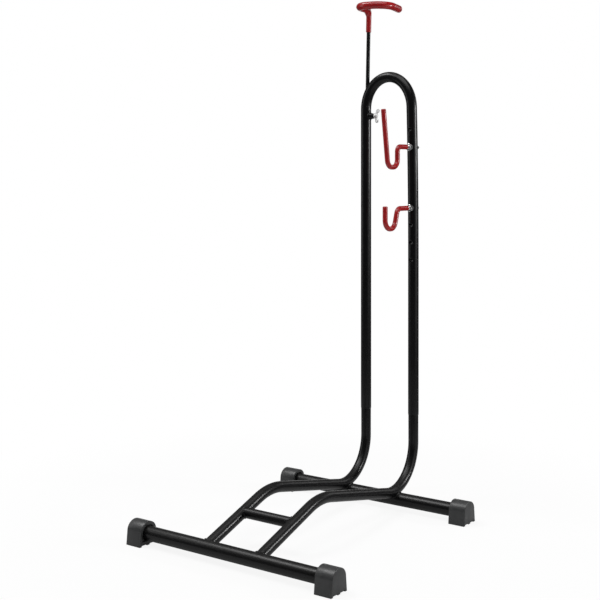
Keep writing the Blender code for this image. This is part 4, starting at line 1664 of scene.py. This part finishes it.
@dataclass
class Studio:
    """Pale floor, soft lights, white surround and the camera."""

    LAMPS: ClassVar[tuple[SoftBox, ...]] = (
        SoftBox("right_box", (2.35, 1.35, 1.12), (0.0, 0.2, 1.05), (0.24, 0.40), 24.0),
        SoftBox("top_box", (0.35, -0.35, 2.7), (0.0, 0.0, 0.3), (2.0, 1.6), 24.0),
        SoftBox("high_box", (-1.95, -0.85, 3.8), (0.0, 0.0, 0.5), (1.8, 1.2), 60.0),
        SoftBox("back_box", (0.85, 3.2, 1.6), (0.0, 0.3, 1.1), (0.9, 1.0), 5.0),
        SoftBox("side_box", (2.7, 0.4, 0.7), (0.0, 0.1, 0.4), (1.8, 1.2), 6.0),
        SoftBox("left_box", (-2.3, -1.2, 1.1), (0.0, 0.2, 0.7), (0.9, 1.9), 8.0),
    )
    WHITE: ClassVar[tuple[float, ...]] = (1.0, 1.0, 1.0, 1.0)

    camera_place: Place = (1.5244, -2.17425, 0.829)
    camera_turn: float = 0.627
    focal_share: float = 1133.3 / 600.0
    shift: Span = (0.0003, -0.21)
    sensor: float = 36.0
    floor_radius: float = 1.3
    floor_tone: float = 0.85
    # The floor's tone in reflections is painted darker than to the eye: painted shade on the floor
    # that the tubes mirror.
    reflection_darkened_floor_tone: float = 0.42
    fade_start: float = 0.55
    fade_end: float = 1.15
    near_white: float = 0.88
    mirror_share: float = 0.15
    screen_span: float = radians(16.0)
    room_level: float = 0.06
    ambient_level: float = 0.35

    def build(self) -> None:
        """Set the whole scene round the stand."""
        scene = bpy.context.scene
        scene.view_settings.view_transform = "Standard"
        self.camera()
        self.floor()
        self.surround()
        for lamp in self.LAMPS:
            lamp.build()

    def camera(self) -> None:
        """Camera at the photograph's place, level, with its view shifted down."""
        data = bpy.data.cameras.new("camera")
        data.sensor_width = self.sensor
        data.lens = self.focal_share * self.sensor
        data.shift_x, data.shift_y = self.shift
        data.clip_end = 50.0
        eye = bpy.data.objects.new("camera", data)
        eye.location = self.camera_place
        eye.rotation_euler = (pi / 2, 0.0, self.camera_turn)
        bpy.context.scene.collection.objects.link(eye)
        bpy.context.scene.camera = eye

    @staticmethod
    def rays(nodes: NodeTree) -> tuple[Socket, Socket]:
        """Masks of the rays that come straight from the camera, and of mirrored ones.

        Args:
            nodes: Node adder of the material or the world.

        Returns:
            The two masks.
        """
        seen = nodes.add("ShaderNodeLightPath").outputs
        direct = nodes.math("MAXIMUM", seen["Is Camera Ray"], seen["Is Transmission Ray"])
        return direct, seen["Is Glossy Ray"]

    def floor(self) -> None:
        """Pale floor that turns plain white away from the stand, painted darker in reflections."""
        shape = bmesh.new()
        bmesh.ops.create_circle(shape, cap_ends=True, segments=96, radius=self.floor_radius)
        floor_piece = piece_from(shape, "floor")
        made = bpy.data.materials.new("studio_floor")
        made.use_nodes = True
        made.node_tree.nodes.clear()
        nodes = NodeTree(made.node_tree)
        place = nodes.add("ShaderNodeTexCoord").outputs["Object"]
        away = nodes.add("ShaderNodeVectorMath", {"operation": "LENGTH"}, Vector=place)
        fade = nodes.ramp(away.outputs["Value"], self.fade_start, self.fade_end,
                          self.near_white, 1.0)
        direct, glossy = self.rays(nodes)
        share = nodes.math("MAXIMUM", nodes.math("MULTIPLY", fade, direct),
                           nodes.math("MULTIPLY", glossy, self.mirror_share))
        # Glossy rays see a darker copy of the floor's colour, which is painted shade in the tubes'
        # reflections.
        tones = [(tone, tone, tone, 1.0) for tone in (self.floor_tone, self.reflection_darkened_floor_tone)]
        paint = nodes.add("ShaderNodeBsdfDiffuse", Color=nodes.mix(Mixed.COLOURS, glossy, *tones))
        white = nodes.add("ShaderNodeEmission", Color=self.WHITE, Strength=1.0)
        both = nodes.add("ShaderNodeMixShader", Fac=share)
        nodes.put(both.inputs[1], paint.outputs[0])
        nodes.put(both.inputs[2], white.outputs[0])
        nodes.add("ShaderNodeOutputMaterial", Surface=both.outputs[0])
        floor_piece.data.materials.append(made)

    def surround(self) -> None:
        """World that is white to the eye, white behind the stand in reflections, dim elsewhere."""
        world = bpy.data.worlds.new("studio")
        world.use_nodes = True
        nodes = NodeTree(world.node_tree)
        direct, glossy = self.rays(nodes)
        way = nodes.add("ShaderNodeTexCoord").outputs["Generated"]
        towards = nodes.add("ShaderNodeVectorMath", {"operation": "DOT_PRODUCT"}, Vector=way)
        nodes.put(towards.inputs[1], (-sin(self.camera_turn), cos(self.camera_turn), 0.0))
        screen = nodes.ramp(towards.outputs["Value"], cos(self.screen_span), 1.0,
                            self.room_level, 1.0)
        mirrored = nodes.math("MULTIPLY", glossy, screen)
        plain = nodes.math("SUBTRACT", 1.0, glossy)
        ambient = nodes.math("MULTIPLY", plain, self.ambient_level)
        strength = nodes.math("MAXIMUM", direct, nodes.math("ADD", mirrored, ambient))
        nodes.feed(world.node_tree.nodes["Background"], Color=self.WHITE, Strength=strength)
        bpy.context.scene.world = world


def main() -> None:
    """Build the looks, sub-assembly by sub-assembly."""
    logging.basicConfig(level=logging.INFO, format="%(message)s")
    Studio().build()
    stand = Stand()
    CrossTubes(stand).build()
    Arms(stand).build()
    Feet(stand).build()
    Loop(stand).build()
    Clamp(stand).build()
    Mast(stand).build()
    JHook(stand, "upper_hook", Body.UPPER_HOOK, neck=0.0741, heel=0.0741, seat=0.1190,
          depth=0.0510, tip=0.1400, rise=0.0905, neck_radius=0.013, seat_radius=0.0195,
          tail=0.0103).build()
    JHook(stand, "lower_hook", Body.LOWER_HOOK, neck=0.0770, heel=0.0929, seat=0.1353,
          depth=0.0491, tip=0.1353, rise=0.0067, neck_radius=0.016, seat_radius=0.0225,
          tail=0.0010).build()
    HiddenParts(stand).dress()


if __name__ == "__main__":
    main()
